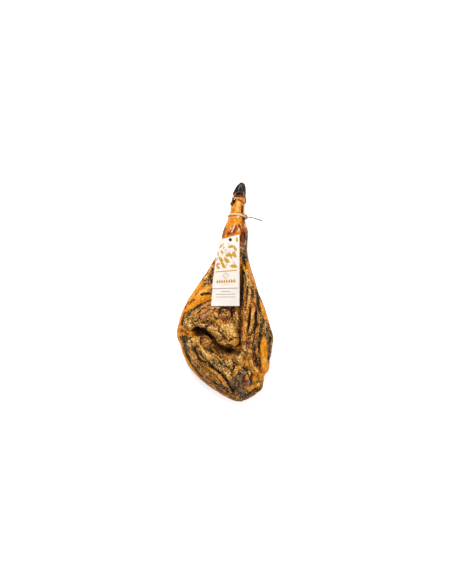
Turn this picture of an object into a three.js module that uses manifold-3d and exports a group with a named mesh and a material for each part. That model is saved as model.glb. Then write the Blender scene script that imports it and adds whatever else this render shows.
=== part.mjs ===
// A whole cured ham on the bone, lying on its skin side with the cut face up. The leg, with its meat, fat and
// skin, is one solid. Two claws and two dewclaws sit in its end, a cord is tied round the ankle, and a card
// tag of two leaves is pinned over the shank by a stud.
// Millimetres, +Z up, +Y towards the hoof. The origin is under the middle of the ham, on what it lies on.

import * as THREE from "three";
import { mergeVertices } from "three/addons/utils/BufferGeometryUtils.js";
import Module from "manifold-3d";

const wasm = await Module();
wasm.setup();

// Driving dimensions.
const LENGTH = 780; // rump to the tip of the hoof
const WIDTH = 341; // across the widest part of the meat
const RUMP_Y = -LENGTH / 2;
const HOOF_Y = LENGTH / 2;
const STUMP_Y = HOOF_Y - 48; // where the skin ends between the claws
const HALF = WIDTH / 2;
const GAP = 0.35; // air between pieces that touch
const WELD = 1e-3; // vertices nearer than this become one

// The outline seen from above, as [y, x] from the rump to the ankle. Both ends are rounded off by a cap.
const LEFT_EDGE = [
  [RUMP_Y, 18], [-371, -2], [-335, -57], [-278, -117], [-221, -149], [-193, 14 - HALF], [-157, -HALF],
  [-122, 4 - HALF], [-65, -149], [-8, -117], [77, -60], [134, -25], [165, -12], [200, -11], [234, 0],
  [252, 9], [280, 18], [STUMP_Y, 26],
];
const RIGHT_EDGE = [
  [RUMP_Y, 78], [-371, 100], [-350, 125], [-322, 136], [-300, 138], [-284, 150], [-250, 158],
  [-193, HALF - 3], [-157, HALF], [-122, 160], [-65, 144], [-8, 121], [49, 103], [106, 85], [152, 77],
  [190, 81], [219, 80], [247, 71], [STUMP_Y, 70],
];
// Heights along the leg: the skin underneath, the rim where it is widest, and the cut face, as [y, z].
const UNDERSIDE = [
  [RUMP_Y, 22], [-335, 9], [-260, -3], [-150, -6], [-60, -4], [50, 6], [165, 18], [250, 28], [STUMP_Y, 36],
];
const RIM = [[RUMP_Y, 40], [-300, 52], [-150, 60], [0, 60], [163, 56], [STUMP_Y, 54]];
const FACE = [
  [RUMP_Y, 60], [-335, 76], [-250, 89], [-150, 98], [-40, 95], [49, 86], [110, 85], [163, 91], [215, 92],
  [252, 81], [STUMP_Y, 75],
];
const RUMP_CAP = 27; // length over which the rump rounds off
const STUMP_CAP = 13;
const FACE_SQUARENESS = 2.4; // of the superellipse over the rim, on the meat
const SHANK_SQUARENESS = 2.05;
const SKIN_SQUARENESS = 1.75; // under the rim
const SHANK_START_Y = 60; // the section turns round from here
const SHANK_END_Y = 190;
const RELIEF_RIM = 0.22; // share of the half width over which the relief comes in from the rim

// Lobes of meat, bone and fat that stand over the face. Each is a dome along a path of [x, y], with half its
// width, its height, and a steepness of 2 for a soft hill or more for a flat top with steep sides.
const LOBES = [
  { path: [[-132, -112], [-100, -84], [-62, -62]], half: 36, height: 20, steep: 3 }, // round lobe, left
  { path: [[-44, -66], [-30, -60]], half: 38, height: 24, steep: 3 }, // cut muscle
  { path: [[0, -80], [3, -86]], half: 24, height: 36, steep: 3.5 }, // end of the thigh bone
  { path: [[-6, -104], [14, -140], [28, -168]], half: 36, height: 30, steep: 3.5 }, // flap over the hip bone
  { path: [[-40, -132], [-18, -164], [8, -186]], half: 22, height: 22, steep: 4 }, // rough edge of the flap
  { path: [[32, -182], [34, -184]], half: 15, height: 28, steep: 3 }, // knob of fat at its tip
  { path: [[-118, -64], [-84, -20], [-58, 20]], half: 25, height: 11, steep: 2.5 }, // band of fat, upper left
  { path: [[84, 72], [86, -20], [74, -100], [66, -168]], half: 19, height: 18, steep: 2.5 }, // first fold
  { path: [[66, 118], [94, 48]], half: 12, height: 9, steep: 2.5 }, // strip of fat above it
  { path: [[102, -20], [96, -92], [87, -160], [92, -212]], half: 15, height: 15, steep: 2.5 }, // second fold
  { path: [[112, 20], [126, -70], [132, -150], [118, -240]], half: 22, height: 13, steep: 2.5 }, // outer fold
  { path: [[140, -160], [146, -215], [138, -272]], half: 15, height: 13, steep: 3 }, // fat at the right
  { path: [[-112, -196], [-64, -248], [0, -312]], half: 52, height: 26, steep: 3 }, // rump muscle
  { path: [[-134, -214], [-92, -286], [-30, -338]], half: 26, height: 14, steep: 2.5 }, // band outside it
  { path: [[-102, -177], [-94, -183]], half: 20, height: 30, steep: 3 }, // two lumps on its upper end
  { path: [[-67, -180], [-60, -187]], half: 21, height: 33, steep: 3 },
  { path: [[50, -290], [66, -312], [72, -336]], half: 36, height: 24, steep: 3.5 }, // lump at the rump
  { path: [[107, -299], [99, -326]], half: 17, height: 12, steep: 2.5 }, // fat beside it
  { path: [[36, -222], [70, -266]], half: 16, height: 12, steep: 2.5 }, // folds across the middle
  { path: [[66, -192], [96, -248], [112, -284]], half: 14, height: 14, steep: 2.5 },
  { path: [[38, 150], [32, 80], [20, 10], [6, -40]], half: 46, height: 22, steep: 2.2 }, // shin under the tag
  { path: [[50, 214], [40, 150]], half: 18, height: 4, steep: 2 }, // tendon on the shank
];
const LOBE_BLEND = 5; // how softly one lobe runs into the next

// Hollows cut into the face, each a trough along a path.
const HOLLOWS = [
  { path: [[-98, -139], [-52, -149]], half: 19, height: 50, steep: 4 }, // deep pocket under the flap
  { path: [[-113, -136], [-98, -139]], half: 10, height: 14, steep: 2.5 },
  { path: [[-42, -156], [-20, -186], [14, -208]], half: 19, height: 32, steep: 3 }, // gully out of it
  { path: [[14, -208], [46, -214]], half: 17, height: 14, steep: 2.5 },
  { path: [[58, 96], [60, 0], [53, -100], [49, -186]], half: 13, height: 17, steep: 2.5 }, // long valley
  { path: [[24, -58], [36, -74]], half: 12, height: 16, steep: 2.5 },
  { path: [[-146, -96], [-108, -52], [-46, -26]], half: 8, height: 7, steep: 2 }, // crease along the fat
  { path: [[86, -70], [81, -136]], half: 6, height: 8, steep: 2 },
  { path: [[110, -15], [134, -98], [124, -180], [128, -262]], half: 7, height: 7, steep: 2 },
  { path: [[-103, -180], [-85, -222], [-36, -266], [6, -306], [30, -352]], half: 8, height: 9, steep: 2 },
  { path: [[-150, -190], [-126, -246], [-78, -304]], half: 8, height: 6, steep: 2 },
  { path: [[62, 306], [61, 276]], half: 6, height: 7, steep: 3 }, // slit beside the tendon at the ankle
];

// The flap leans out over the pocket: points near its edge move this far along the lean.
const LEAN = { path: [[-80, -117], [-48, -130], [-30, -158], [-2, -186]], half: 16, shift: [-7, -8] };

// Unevenness all over, two waves of it, in height and length. Their crests sway, and lie a little closer
// together along the leg.
const ROUGH = [{ height: 1.6, length: 46 }, { height: 0.8, length: 21 }];
const ROUGH_SWAY = 1.7;
const ROUGH_CLOSER = 1.1;

// The relief at a place is the mean of places this far off, so that the mesh can follow it.
const SOFTENING = 4.5;

// Mesh density of the leg: columns over the face, columns under it, and rows.
const FACE_COLUMNS = 54;
const SKIN_COLUMNS = 18;
const ROWS = 62;
const COLUMN_CROWDING = 0.65; // from 0 for even columns to 1 for columns crowded at the rims
// Rows are spaced by this profile, as [share of the rows, y]: close at the ends and over the meat.
const ROW_SPACING = [
  [0, RUMP_Y], [0.03, RUMP_Y + 4], [0.09, RUMP_Y + 27], [0.66, 0], [0.95, STUMP_Y - 12], [1, STUMP_Y],
];

// Hoof. Each claw is a horn from base to tip, with half its width and half its depth at the base.
const CLAWS = {
  hoof_claw_left: { base: [43, 330, 57], tip: [61, HOOF_Y - 0.5, 69], width: 21, depth: 18, blunt: 2.6 },
  hoof_claw_right: { base: [61, 330, 47], tip: [66, HOOF_Y - 3, 58], width: 12, depth: 15, blunt: 4.2 },
  dewclaw_left: { base: [23, 305, 62], tip: [38, 336, 86], width: 8.5, depth: 9, blunt: 2.2 },
  dewclaw_right: { base: [69, 312, 43], tip: [71, 345, 34], width: 6, depth: 9, blunt: 2.2 },
};
const CLAW_ROOT = 0.16; // share of a claw's length over which it swells to its full width
const CLAW_TAPER = 0.7; // how full it stays towards the tip
const CLAW_AROUND = 14;
const CLAW_ALONG = 11;

// Cord: a loop round the ankle, a knot beside it and a loose end that falls to the surface.
const CORD_RADIUS = 2.5;
const LOOP_Y = 265;
const LOOP_SLOPE = 4; // the loop lies nearer the hoof at the left than at the right by this much each way
const LOOP_TILT = 9; // and nearer it on the face than underneath
const LOOP_CLEARANCE = 4 * GAP; // between it and the skin
const LOOP_STEPS = 24;
const CORD_SIDES = 8;
const KNOT = { at: [75, 265.5, 67], radius: 5, tube: 2.1, steps: 36, turns: 2, winds: 3 };
const CORD_END = [
  [80, 265, 67], [86, 264, 67.3], [91, 263.3, 67], [95.8, 262.6, 66.3], [99.4, 262, 64.8],
  [102.5, 261.5, 62.3], [104.9, 261, 59.1], [106.7, 260.7, 55.4], [109.6, 260.2, 45], [112.8, 259.7, 33.9],
  [115.8, 259.1, 22.9], [118.6, 258.6, 13.4], [120.3, 258.4, 9.4], [122.6, 258, 6.4], [125.3, 257.6, 4.3],
  [128.4, 257.1, 3.1], [131.5, 256.6, CORD_RADIUS + 0.2], [134.5, 256, CORD_RADIUS + 0.2],
];
const CORD_END_STEPS = 18;

// Tag: two leaves of card. The right edge runs straight down the leg, and the top left corner bends round it.
const TAG_WIDTH = 99.5;
const TAG_RIGHT_X = 51;
const TAG_TOP_Y = 202;
const TAG_BOTTOM_Y = -50;
// Height of its right edge, as [share of the way down, z]: the meat holds it off the leg.
const TAG_EDGE = [[0, 107], [0.12, 115], [0.25, 122], [0.42, 127], [0.6, 127.5], [1, 125]];
const TAG_BEND = 1.34; // radians that the top edge turns through, more than the bottom edge does
const TAG_LAST_BEND = 0.02; // radians that the bottom edge turns through
const TAG_FLATTENING = 0.7; // how soon the bend eases further down
const TAG_SLANT = 19; // the top edge falls by this much at the left
const TAG_SLANT_EASING = 1.5; // how soon that eases further down
const CARD = 0.8; // thickness of one leaf
const FRONT_LEAF_SHARE = 0.745; // the front leaf's length, as a share of the back one's
const FRONT_LEAF_WIDTH = 94.5;
const LEAF_SPACING = 1.5; // between the middles of the two leaves
const FRONT_LEAF_CURL = 2.4; // how far its lower edge lifts off
const CURL_POWER = 4; // how late on the way down it does
const TAG_COLUMNS = 8;
const TAG_ROWS = 12;

// Stud that pins the tag on, through a hole in each leaf.
const STUD_ALONG = 31.5; // from the tag's right edge
const STUD_DOWN = 11; // from its top edge
const STUD_HEAD_RADIUS = 5.8;
const STUD_SEAT_GAP = 5 * GAP; // keeps the head clear of the bent leaf under it
// Profile of the head, as [distance in from its edge, height], and the height of its dished middle.
const STUD_HEAD = [[0, 0], [0, 1.2], [1.3, 2.6], [3.2, 2.9], [3.8, 1.9]];
const STUD_DISH = 1.7;
const STUD_STEM_RADIUS = 1.8;
const STUD_SIDES = 16;
const STUD_HOLE_REACH = 9; // the hole is cut this far to either side of the back leaf

// A smooth function through [y, value] points.
function profile(points) {
  const curve = new THREE.CubicInterpolant(points.map((p) => p[0]), points.map((p) => p[1]), 1);
  return (y) => curve.evaluate(y)[0];
}

const leftEdge = profile(LEFT_EDGE);
const rightEdge = profile(RIGHT_EDGE);
const underside = profile(UNDERSIDE);
const rim = profile(RIM);
const face = profile(FACE);
const rowY = profile(ROW_SPACING);
const tagEdge = profile(TAG_EDGE);

// Distance from (x, y) to a path of straight stretches.
function distanceTo(path, x, y) {
  let nearest = Infinity;
  for (let i = 1; i < path.length; i++) {
    const [ax, ay] = path[i - 1];
    const [dx, dy] = [path[i][0] - ax, path[i][1] - ay];
    const share = THREE.MathUtils.clamp(((x - ax) * dx + (y - ay) * dy) / (dx * dx + dy * dy), 0, 1);
    nearest = Math.min(nearest, Math.hypot(x - ax - share * dx, y - ay - share * dy));
  }
  return nearest;
}

// Height of a dome or trough at (x, y).
function dome({ path, half, height, steep }, x, y) {
  const reach = distanceTo(path, x, y) / half;
  return reach < 1 ? height * (1 - reach ** steep) ** 2 : 0;
}

function softMax(a, b, blend) {
  const near = Math.max(blend - Math.abs(a - b), 0);
  return Math.max(a, b) + (near * near) / (4 * blend);
}

function roughness(x, y) {
  return ROUGH.reduce((sum, { height, length }) => {
    const turn = (2 * Math.PI) / length;
    const sway = ROUGH_SWAY * Math.sin((turn * y) / ROUGH_CLOSER ** 2);
    return sum + height * Math.sin(turn * x + sway) * Math.cos(turn * y * ROUGH_CLOSER + x / length);
  }, 0);
}

function sharpRelief(x, y) {
  const raised = LOBES.reduce((most, lobe) => softMax(most, dome(lobe, x, y), LOBE_BLEND), 0);
  const sunk = HOLLOWS.reduce((sum, hollow) => sum + dome(hollow, x, y), 0);
  return raised - sunk + roughness(x, y);
}

// What stands over the plain face at (x, y).
function relief(x, y) {
  const places = [[0, 0], [SOFTENING, 0], [-SOFTENING, 0], [0, SOFTENING], [0, -SOFTENING]];
  return places.reduce((sum, [dx, dy]) => sum + sharpRelief(x + dx, y + dy) / places.length, 0);
}

// 0 at either end of the leg, rising to 1 over the length of its cap.
function capping(y) {
  const share = Math.min((y - RUMP_Y) / RUMP_CAP, (STUMP_Y - y) / STUMP_CAP, 1);
  return Math.sqrt(Math.max(1 - (1 - share) ** 2, 0));
}

// Middle, half width, rim and the room over and under it of the section at y.
function section(y) {
  const cap = capping(y);
  const middle = (leftEdge(y) + rightEdge(y)) / 2;
  return {
    middle,
    half: (cap * (rightEdge(y) - leftEdge(y))) / 2,
    rim: rim(y),
    over: cap * (face(y) - rim(y)),
    under: cap * (rim(y) - underside(y)),
  };
}

// Height of the face at a place across the section, with across running from -1 to 1.
function faceAt(across, y) {
  const s = section(y);
  const round = THREE.MathUtils.smoothstep(y, SHANK_START_Y, SHANK_END_Y);
  const power = THREE.MathUtils.lerp(FACE_SQUARENESS, SHANK_SQUARENESS, round);
  const arch = (1 - Math.min(Math.abs(across), 1) ** power) ** (1 / power);
  const inward = THREE.MathUtils.smoothstep(1 - Math.abs(across), 0, RELIEF_RIM) * capping(y);
  return s.rim + s.over * arch + inward * relief(s.middle + across * s.half, y);
}

// A point of the leg's surface: turn goes from 0 at the left rim over the face to 0.5, then underneath to 1.
function skinPoint(turn, y) {
  const s = section(y);
  const over = turn < 0.5;
  const share = over ? turn * 2 : 2 - turn * 2;
  const across = THREE.MathUtils.lerp(2 * share - 1, -Math.cos(Math.PI * share), COLUMN_CROWDING);
  const x = s.middle + across * s.half;
  if (over) return new THREE.Vector3(x, y, faceAt(across, y));
  const arch = (1 - Math.min(Math.abs(across), 1) ** SKIN_SQUARENESS) ** (1 / SKIN_SQUARENESS);
  return new THREE.Vector3(x, y, Math.max(s.rim - s.under * arch, 0));
}

// Only position is left, so that the vertices along seams become one.
function welded(geometry) {
  geometry.deleteAttribute("normal");
  geometry.deleteAttribute("uv");
  return mergeVertices(geometry, WELD);
}

function solidOf(geometry) {
  const made = welded(geometry);
  return new wasm.Manifold(
    new wasm.Mesh({
      numProp: 3,
      vertProperties: new Float32Array(made.attributes.position.array),
      triVerts: new Uint32Array(made.index.array),
    }),
  );
}

function geometryOf(solid) {
  const { vertProperties, triVerts } = solid.getMesh();
  const geometry = new THREE.BufferGeometry();
  geometry.setAttribute("position", new THREE.BufferAttribute(vertProperties, 3));
  geometry.setIndex(new THREE.BufferAttribute(triVerts, 1));
  geometry.computeVertexNormals();
  return geometry;
}

// Moves each vertex of a geometry to place(u, v, position), with u and v as its uv has them.
function reshaped(geometry, place) {
  const { position, uv } = geometry.attributes;
  for (let i = 0; i < position.count; i++) {
    const p = place(uv.getX(i), uv.getY(i), new THREE.Vector3().fromBufferAttribute(position, i));
    position.setXYZ(i, p.x, p.y, p.z);
  }
  return geometry;
}

// The columns that cross the face and those that go underneath take half a turn each.
function turnOf(u) {
  const column = Math.round((((u % 1) + 1) % 1) * (FACE_COLUMNS + SKIN_COLUMNS));
  const under = column - FACE_COLUMNS;
  return under < 0 ? column / FACE_COLUMNS / 2 : 0.5 + under / SKIN_COLUMNS / 2;
}

function leaned(point) {
  const reach = distanceTo(LEAN.path, point.x, point.y) / LEAN.half;
  if (reach < 1) {
    const share = (1 - reach * reach) ** 2;
    point.x += share * LEAN.shift[0];
    point.y += share * LEAN.shift[1];
  }
  return point;
}

// Splits each four-sided cell of a ball's mesh along the diagonal that changes less in height, which keeps
// the edges of steep relief straight. The cells lie between the first and the last row, as triangles a b d
// and b c d.
function splitFlatter(geometry, columns) {
  const { index } = geometry;
  const { position } = geometry.attributes;
  const fall = (from, to) => Math.abs(position.getZ(from) - position.getZ(to));
  for (let i = 3 * columns; i < index.count - 3 * columns; i += 6) {
    const [a, b, d, c] = [index.getX(i), index.getX(i + 1), index.getX(i + 2), index.getX(i + 4)];
    if (fall(b, d) > fall(a, c)) [a, b, c, a, c, d].forEach((vertex, place) => index.setX(i + place, vertex));
  }
  return geometry;
}

function legGeometry() {
  const columns = FACE_COLUMNS + SKIN_COLUMNS;
  const bent = reshaped(new THREE.SphereGeometry(1, columns, ROWS), (u, v) => {
    const y = THREE.MathUtils.clamp(rowY(v), RUMP_Y, STUMP_Y);
    const turn = v === 0 || v === 1 ? 0 : turnOf(u);
    const point = skinPoint(turn, y);
    return turn < 0.5 ? leaned(point) : point;
  });
  return splitFlatter(bent, columns);
}

// A horn: a ball drawn out from base to tip, full near the base and narrowing to a blunt tip.
function clawGeometry({ base, tip, width, depth, blunt }, grown = 0) {
  const [from, to] = [new THREE.Vector3(...base), new THREE.Vector3(...tip)];
  const along = to.clone().sub(from);
  const side = new THREE.Vector3(0, 0, 1).cross(along).normalize();
  const up = along.clone().cross(side).normalize();
  const ball = new THREE.SphereGeometry(1, CLAW_AROUND, CLAW_ALONG);
  return reshaped(ball, (u, v) => {
    const share = (1 - Math.cos(Math.PI * v)) / 2;
    const size = Math.sqrt(Math.min(share / CLAW_ROOT, 1)) * (1 - share ** blunt) ** CLAW_TAPER;
    const angle = 2 * Math.PI * (u % 1);
    const reach = v === 0 || v === 1 ? 0 : size;
    return from
      .clone()
      .addScaledVector(along, share + (v === 1 ? grown / along.length() : 0))
      .addScaledVector(side, reach * (width + grown) * Math.cos(angle))
      .addScaledVector(up, reach * (depth + grown) * Math.sin(angle));
  });
}

// Middle line of the cord round the ankle, just clear of the skin.
function loopPoint(turn) {
  const y = LOOP_Y + LOOP_SLOPE * Math.cos(2 * Math.PI * turn) + LOOP_TILT * Math.sin(2 * Math.PI * turn);
  const skin = skinPoint(turn, y);
  const { middle, rim: height } = section(y);
  const out = new THREE.Vector3(skin.x - middle, 0, skin.z - height).normalize();
  return skin.addScaledVector(out, CORD_RADIUS + LOOP_CLEARANCE);
}

function loopGeometry() {
  const line = new THREE.CatmullRomCurve3(
    Array.from({ length: LOOP_STEPS }, (_, i) => loopPoint(i / LOOP_STEPS)),
    true,
  );
  const ring = new THREE.TorusGeometry(1, 0.1, CORD_SIDES, LOOP_STEPS * 2);
  return reshaped(ring, (u, v) => {
    const centre = line.getPoint(u % 1);
    const ahead = line.getTangent(u % 1);
    const side = new THREE.Vector3(0, 1, 0).cross(ahead).normalize();
    const up = side.clone().cross(ahead);
    const angle = 2 * Math.PI * (v % 1);
    return centre
      .addScaledVector(side, CORD_RADIUS * Math.cos(angle))
      .addScaledVector(up, CORD_RADIUS * Math.sin(angle));
  });
}

function knotGeometry() {
  const { at, radius, tube, steps, turns, winds } = KNOT;
  const knot = new THREE.TorusKnotGeometry(radius, tube, steps, CORD_SIDES, turns, winds);
  return knot.rotateY(Math.PI / 2).translate(...at);
}

function cordEndGeometry() {
  const outline = new THREE.Shape().absarc(0, 0, CORD_RADIUS, 0, 2 * Math.PI);
  const path = new THREE.CatmullRomCurve3(CORD_END.map((p) => new THREE.Vector3(...p)));
  return new THREE.ExtrudeGeometry(outline, {
    steps: CORD_END_STEPS,
    curveSegments: CORD_SIDES / 2,
    extrudePath: path,
  });
}

// A point of the tag: along is the distance from its right edge, down runs from 0 at the top to 1.
function tagPoint(along, down, lift) {
  const bend = TAG_BEND * (1 - down) ** TAG_FLATTENING + TAG_LAST_BEND;
  const radius = TAG_WIDTH / bend;
  const angle = along / radius;
  const slant = (TAG_SLANT * (1 - down) ** TAG_SLANT_EASING * Math.sin(angle)) / Math.sin(bend);
  return new THREE.Vector3(
    TAG_RIGHT_X - radius * Math.sin(angle) - lift * Math.sin(angle),
    THREE.MathUtils.lerp(TAG_TOP_Y, TAG_BOTTOM_Y, down) - slant,
    tagEdge(down) - radius * (1 - Math.cos(angle)) + lift * Math.cos(angle),
  );
}

// One leaf of the tag, from start to start + width across and length (a share) down, lifted off the back leaf
// and curling up from it at its lower edge.
function leafSolid(start, width, length, lift, curl) {
  const sheet = new THREE.BoxGeometry(1, 1, 1, TAG_COLUMNS, Math.round(TAG_ROWS * length), 1);
  const bent = reshaped(sheet, (u, v, p) => {
    const way = 0.5 - p.y;
    return tagPoint(start + (0.5 - p.x) * width, way * length, lift + curl * way ** CURL_POWER + p.z * CARD);
  });
  return solidOf(bent);
}

// The stud's middle on the tag, and the direction out of it.
function studPlace() {
  const down = STUD_DOWN / (TAG_TOP_Y - TAG_BOTTOM_Y);
  const foot = tagPoint(STUD_ALONG, down, 0);
  const out = tagPoint(STUD_ALONG, down, 10).sub(foot).normalize();
  return { foot, out };
}

// A round post of the given profile, as [radius, height over the back leaf's middle], standing on the tag.
function postSolid(points) {
  const { foot, out } = studPlace();
  const post = new THREE.LatheGeometry(points.map(([r, h]) => new THREE.Vector2(r, h)), STUD_SIDES);
  const turn = new THREE.Quaternion().setFromUnitVectors(new THREE.Vector3(0, 1, 0), out);
  return solidOf(post.applyQuaternion(turn).translate(foot.x, foot.y, foot.z));
}

function studSolid() {
  const under = -CARD / 2 - GAP / 2;
  const seat = LEAF_SPACING + CARD / 2 + STUD_SEAT_GAP;
  const head = STUD_HEAD.map(([inwards, height]) => [STUD_HEAD_RADIUS - inwards, seat + height]);
  return postSolid([
    [0, under], [STUD_STEM_RADIUS, under], [STUD_STEM_RADIUS, seat], ...head, [0, seat + STUD_DISH],
  ]);
}

const materials = {
  meat: new THREE.MeshStandardMaterial({ color: "#b8742e", roughness: 0.6, metalness: 0 }),
  horn: new THREE.MeshStandardMaterial({ color: "#241d1a", roughness: 0.4, metalness: 0 }),
  cord: new THREE.MeshStandardMaterial({ color: "#e2cdae", roughness: 0.9, metalness: 0 }),
  card: new THREE.MeshStandardMaterial({ color: "#f3ebe2", roughness: 0.7, metalness: 0 }),
  stud: new THREE.MeshStandardMaterial({ color: "#1b1a1a", roughness: 0.35, metalness: 0 }),
};

const ham = new THREE.Group();

function add(name, solid, material) {
  const mesh = new THREE.Mesh(geometryOf(solid), material);
  mesh.name = name;
  ham.add(mesh);
}

// The claws are let into the leg: each cuts its own socket, a gap wider than itself, and yields to the next.
let leg = solidOf(legGeometry());
const claws = [];
for (const [name, claw] of Object.entries(CLAWS)) {
  const grown = solidOf(clawGeometry(claw, GAP));
  leg = leg.subtract(grown);
  for (const other of claws) other.solid = other.solid.subtract(grown);
  claws.push({ name, solid: solidOf(clawGeometry(claw)) });
}
add("leg", leg, materials.meat);
for (const { name, solid } of claws) add(name, solid, materials.horn);

const ankleCord = solidOf(loopGeometry()).add(solidOf(knotGeometry()));
add("ankle_cord", ankleCord, materials.cord);
add("cord_end", solidOf(cordEndGeometry()), materials.cord);

const holeRadius = STUD_STEM_RADIUS + GAP;
const studHole = postSolid([
  [0, -STUD_HOLE_REACH], [holeRadius, -STUD_HOLE_REACH], [holeRadius, STUD_HOLE_REACH], [0, STUD_HOLE_REACH],
]);
add("tag_back_leaf", leafSolid(0, TAG_WIDTH, 1, 0, 0).subtract(studHole), materials.card);
const frontStart = TAG_WIDTH - FRONT_LEAF_WIDTH;
const frontLeaf = leafSolid(frontStart, FRONT_LEAF_WIDTH, FRONT_LEAF_SHARE, LEAF_SPACING, FRONT_LEAF_CURL);
add("tag_front_leaf", frontLeaf.subtract(studHole), materials.card);
add("tag_stud", studSolid(), materials.stud);

export default ham;
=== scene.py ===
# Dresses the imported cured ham: its crust, fat and skin, the horn of its hoof, the twine and the card tag, on
# a pale floor under soft light and seen from straight above.
# The scene is in metres. Sizes below are in millimetres, in the model's frame, unless they say otherwise.

import math

import bpy
import numpy as np
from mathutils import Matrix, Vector
from mathutils.bvhtree import BVHTree


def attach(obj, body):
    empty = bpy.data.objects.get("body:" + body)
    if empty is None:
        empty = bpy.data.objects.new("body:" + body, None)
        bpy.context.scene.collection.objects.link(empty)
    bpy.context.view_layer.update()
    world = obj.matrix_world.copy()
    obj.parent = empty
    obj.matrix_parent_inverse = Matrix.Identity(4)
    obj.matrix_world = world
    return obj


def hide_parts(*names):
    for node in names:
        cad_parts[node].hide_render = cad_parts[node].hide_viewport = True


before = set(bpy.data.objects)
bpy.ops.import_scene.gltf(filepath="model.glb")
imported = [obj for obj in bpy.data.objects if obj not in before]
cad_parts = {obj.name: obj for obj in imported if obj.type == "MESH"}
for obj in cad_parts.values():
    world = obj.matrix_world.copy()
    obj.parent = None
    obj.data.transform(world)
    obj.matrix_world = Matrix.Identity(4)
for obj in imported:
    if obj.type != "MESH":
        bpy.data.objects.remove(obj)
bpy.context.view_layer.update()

MM = 0.001

# The photograph: what it shows at its middle, and how much a pixel of it covers at the ham's outline.
PHOTO_HEIGHT = 584
MM_PER_PIXEL = 3.5535
PHOTO_MIDDLE = (3.55, -0.9)
OUTLINE_Z = 56
CAMERA_Z = 6000
SENSOR = 24

# The leg's mesh.
VOXEL = 2.38
SMOOTHING_ROUNDS = 10
# painted shade where the crust turns down at the rim:
RIM_SHADE = 0.3  # how much darker the crust is where it turns down
SWELLING = 0.9  # all over, against what the smoothing takes off
CARD_CLEARANCE = 1.2  # between the leg's relief and the tag
NEAR_CARD = 9  # points this near to the tag's box are looked at for that
LUMP_SIZE = 25  # of the crust
LUMP_HEIGHT = 2.6
SMALL_LUMP_SIZE = 11
SMALL_LUMP_HEIGHT = 2.0
CRACK_STRENGTH = 0.8
FOLD_ROUNDS = 90  # of evening out, against which wide folds are found
CREASE_ROUNDS = 12  # the same for narrow creases
# painted shade in the crust's folds and creases, and painted highlight on its ridges
FOLD_PAINTED_SHADE = 0.66
RIDGE_PAINTED_HIGHLIGHT = 0.42
RIM_FAT = 0.75  # how much of the underside's colour the fat at the rim covers

# Columns of the table of looks. The first six are the two colours.
COLOURS = slice(0, 6)
POLISH, CRAG, SPECK, FLECK_AND_HIGHLIGHT = 6, 7, 8, 9

# How strongly a surface mirrors: horn and meat, and the drier card and twine.
MEAT_SHEEN = 0.14
DRY_SHEEN = 0.2

HORN_VOXEL = 0.8
HORN_ROUNDS = 5

# Meat fibres run down the leg on its right side, and at this turn from that across the rump.
RUMP_TURN = math.radians(-40)

# How each finish looks: two colours that mottle it, how glossy it is, the height of its crags, how thick its
# dark specks lie, and how much pale fleck, partly painted highlight, is on it.
FINISHES = {
    "fat": ("#ffa416", "#dc8208", 0.6, 0.45, 0.26, 0.24),
    "deep_fat": ("#cc7408", "#844404", 0.5, 0.7, 0.46, 0.15),
    "pale_fat": ("#ffc85c", "#dc9428", 0.5, 0.8, 0.26, 0.5),
    "olive_fat": ("#d0ac5c", "#a08444", 0.5, 0.5, 0.2, 0.2),
    "skin": ("#f2981e", "#cc720c", 0.95, 0.2, 0.16, 0.15),
    # painted highlight: a broad paler patch on the skin
    "painted_skin_highlight": ("#fabc70", "#f0a450", 0.95, 0.2, 0.06, 0.3),
    # painted highlight: near-white gloss put into the skin's colour
    "painted_highlight": ("#fff0e0", "#fcd8b0", 1.0, 0.2, 0.0, 0.0),
    "red_skin": ("#a24606", "#702802", 0.95, 0.3, 0.16, 0.1),
    "dark_skin": ("#5c2408", "#281002", 0.8, 0.5, 0.3, 0.15),
    "gold": ("#f6a632", "#b0681a", 0.5, 1.1, 0.46, 0.8),
    "crust": ("#c8822e", "#644016", 0.4, 1.3, 0.54, 0.5),
    "olive": ("#c4943e", "#785826", 0.35, 1.2, 0.46, 0.42),
    "grey": ("#a07a4e", "#463c30", 0.3, 1.3, 0.56, 0.5),
    "black": ("#3e301e", "#1a120a", 0.3, 0.9, 0.5, 0.36),
    "red": ("#d07428", "#8a420c", 0.45, 0.9, 0.46, 0.42),
    "tan": ("#e69c38", "#9c5e16", 0.45, 0.9, 0.42, 0.5),
    "meat": ("#cc966a", "#a06238", 0.45, 0.4, 0.2, 0.4),
    "meat_line": ("#7c3a18", "#4c220c", 0.4, 0.5, 0.2, 0.1),
    "leather": ("#8c6a4c", "#54402e", 0.4, 0.55, 0.28, 0.24),
    "rust": ("#9e6844", "#58402f", 0.35, 0.65, 0.36, 0.36),
    "bone": ("#8e542a", "#502c14", 0.4, 0.5, 0.36, 0.26),
    # painted shade: hollow for the pocket and gully, dark for the deeper shade at the pocket's floor
    "painted_hollow_shade": ("#704410", "#462a0a", 0.3, 0.4, 0.1, 0.0),
    "dark": ("#2a1806", "#160c02", 0.3, 0.4, 0.1, 0.0),
    "shade": ("#c47e24", "#7c4610", 0.35, 0.8, 0.34, 0.4),
    "rind": ("#c07c24", "#7c4812", 0.6, 0.5, 0.4, 0.26),
}

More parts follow.
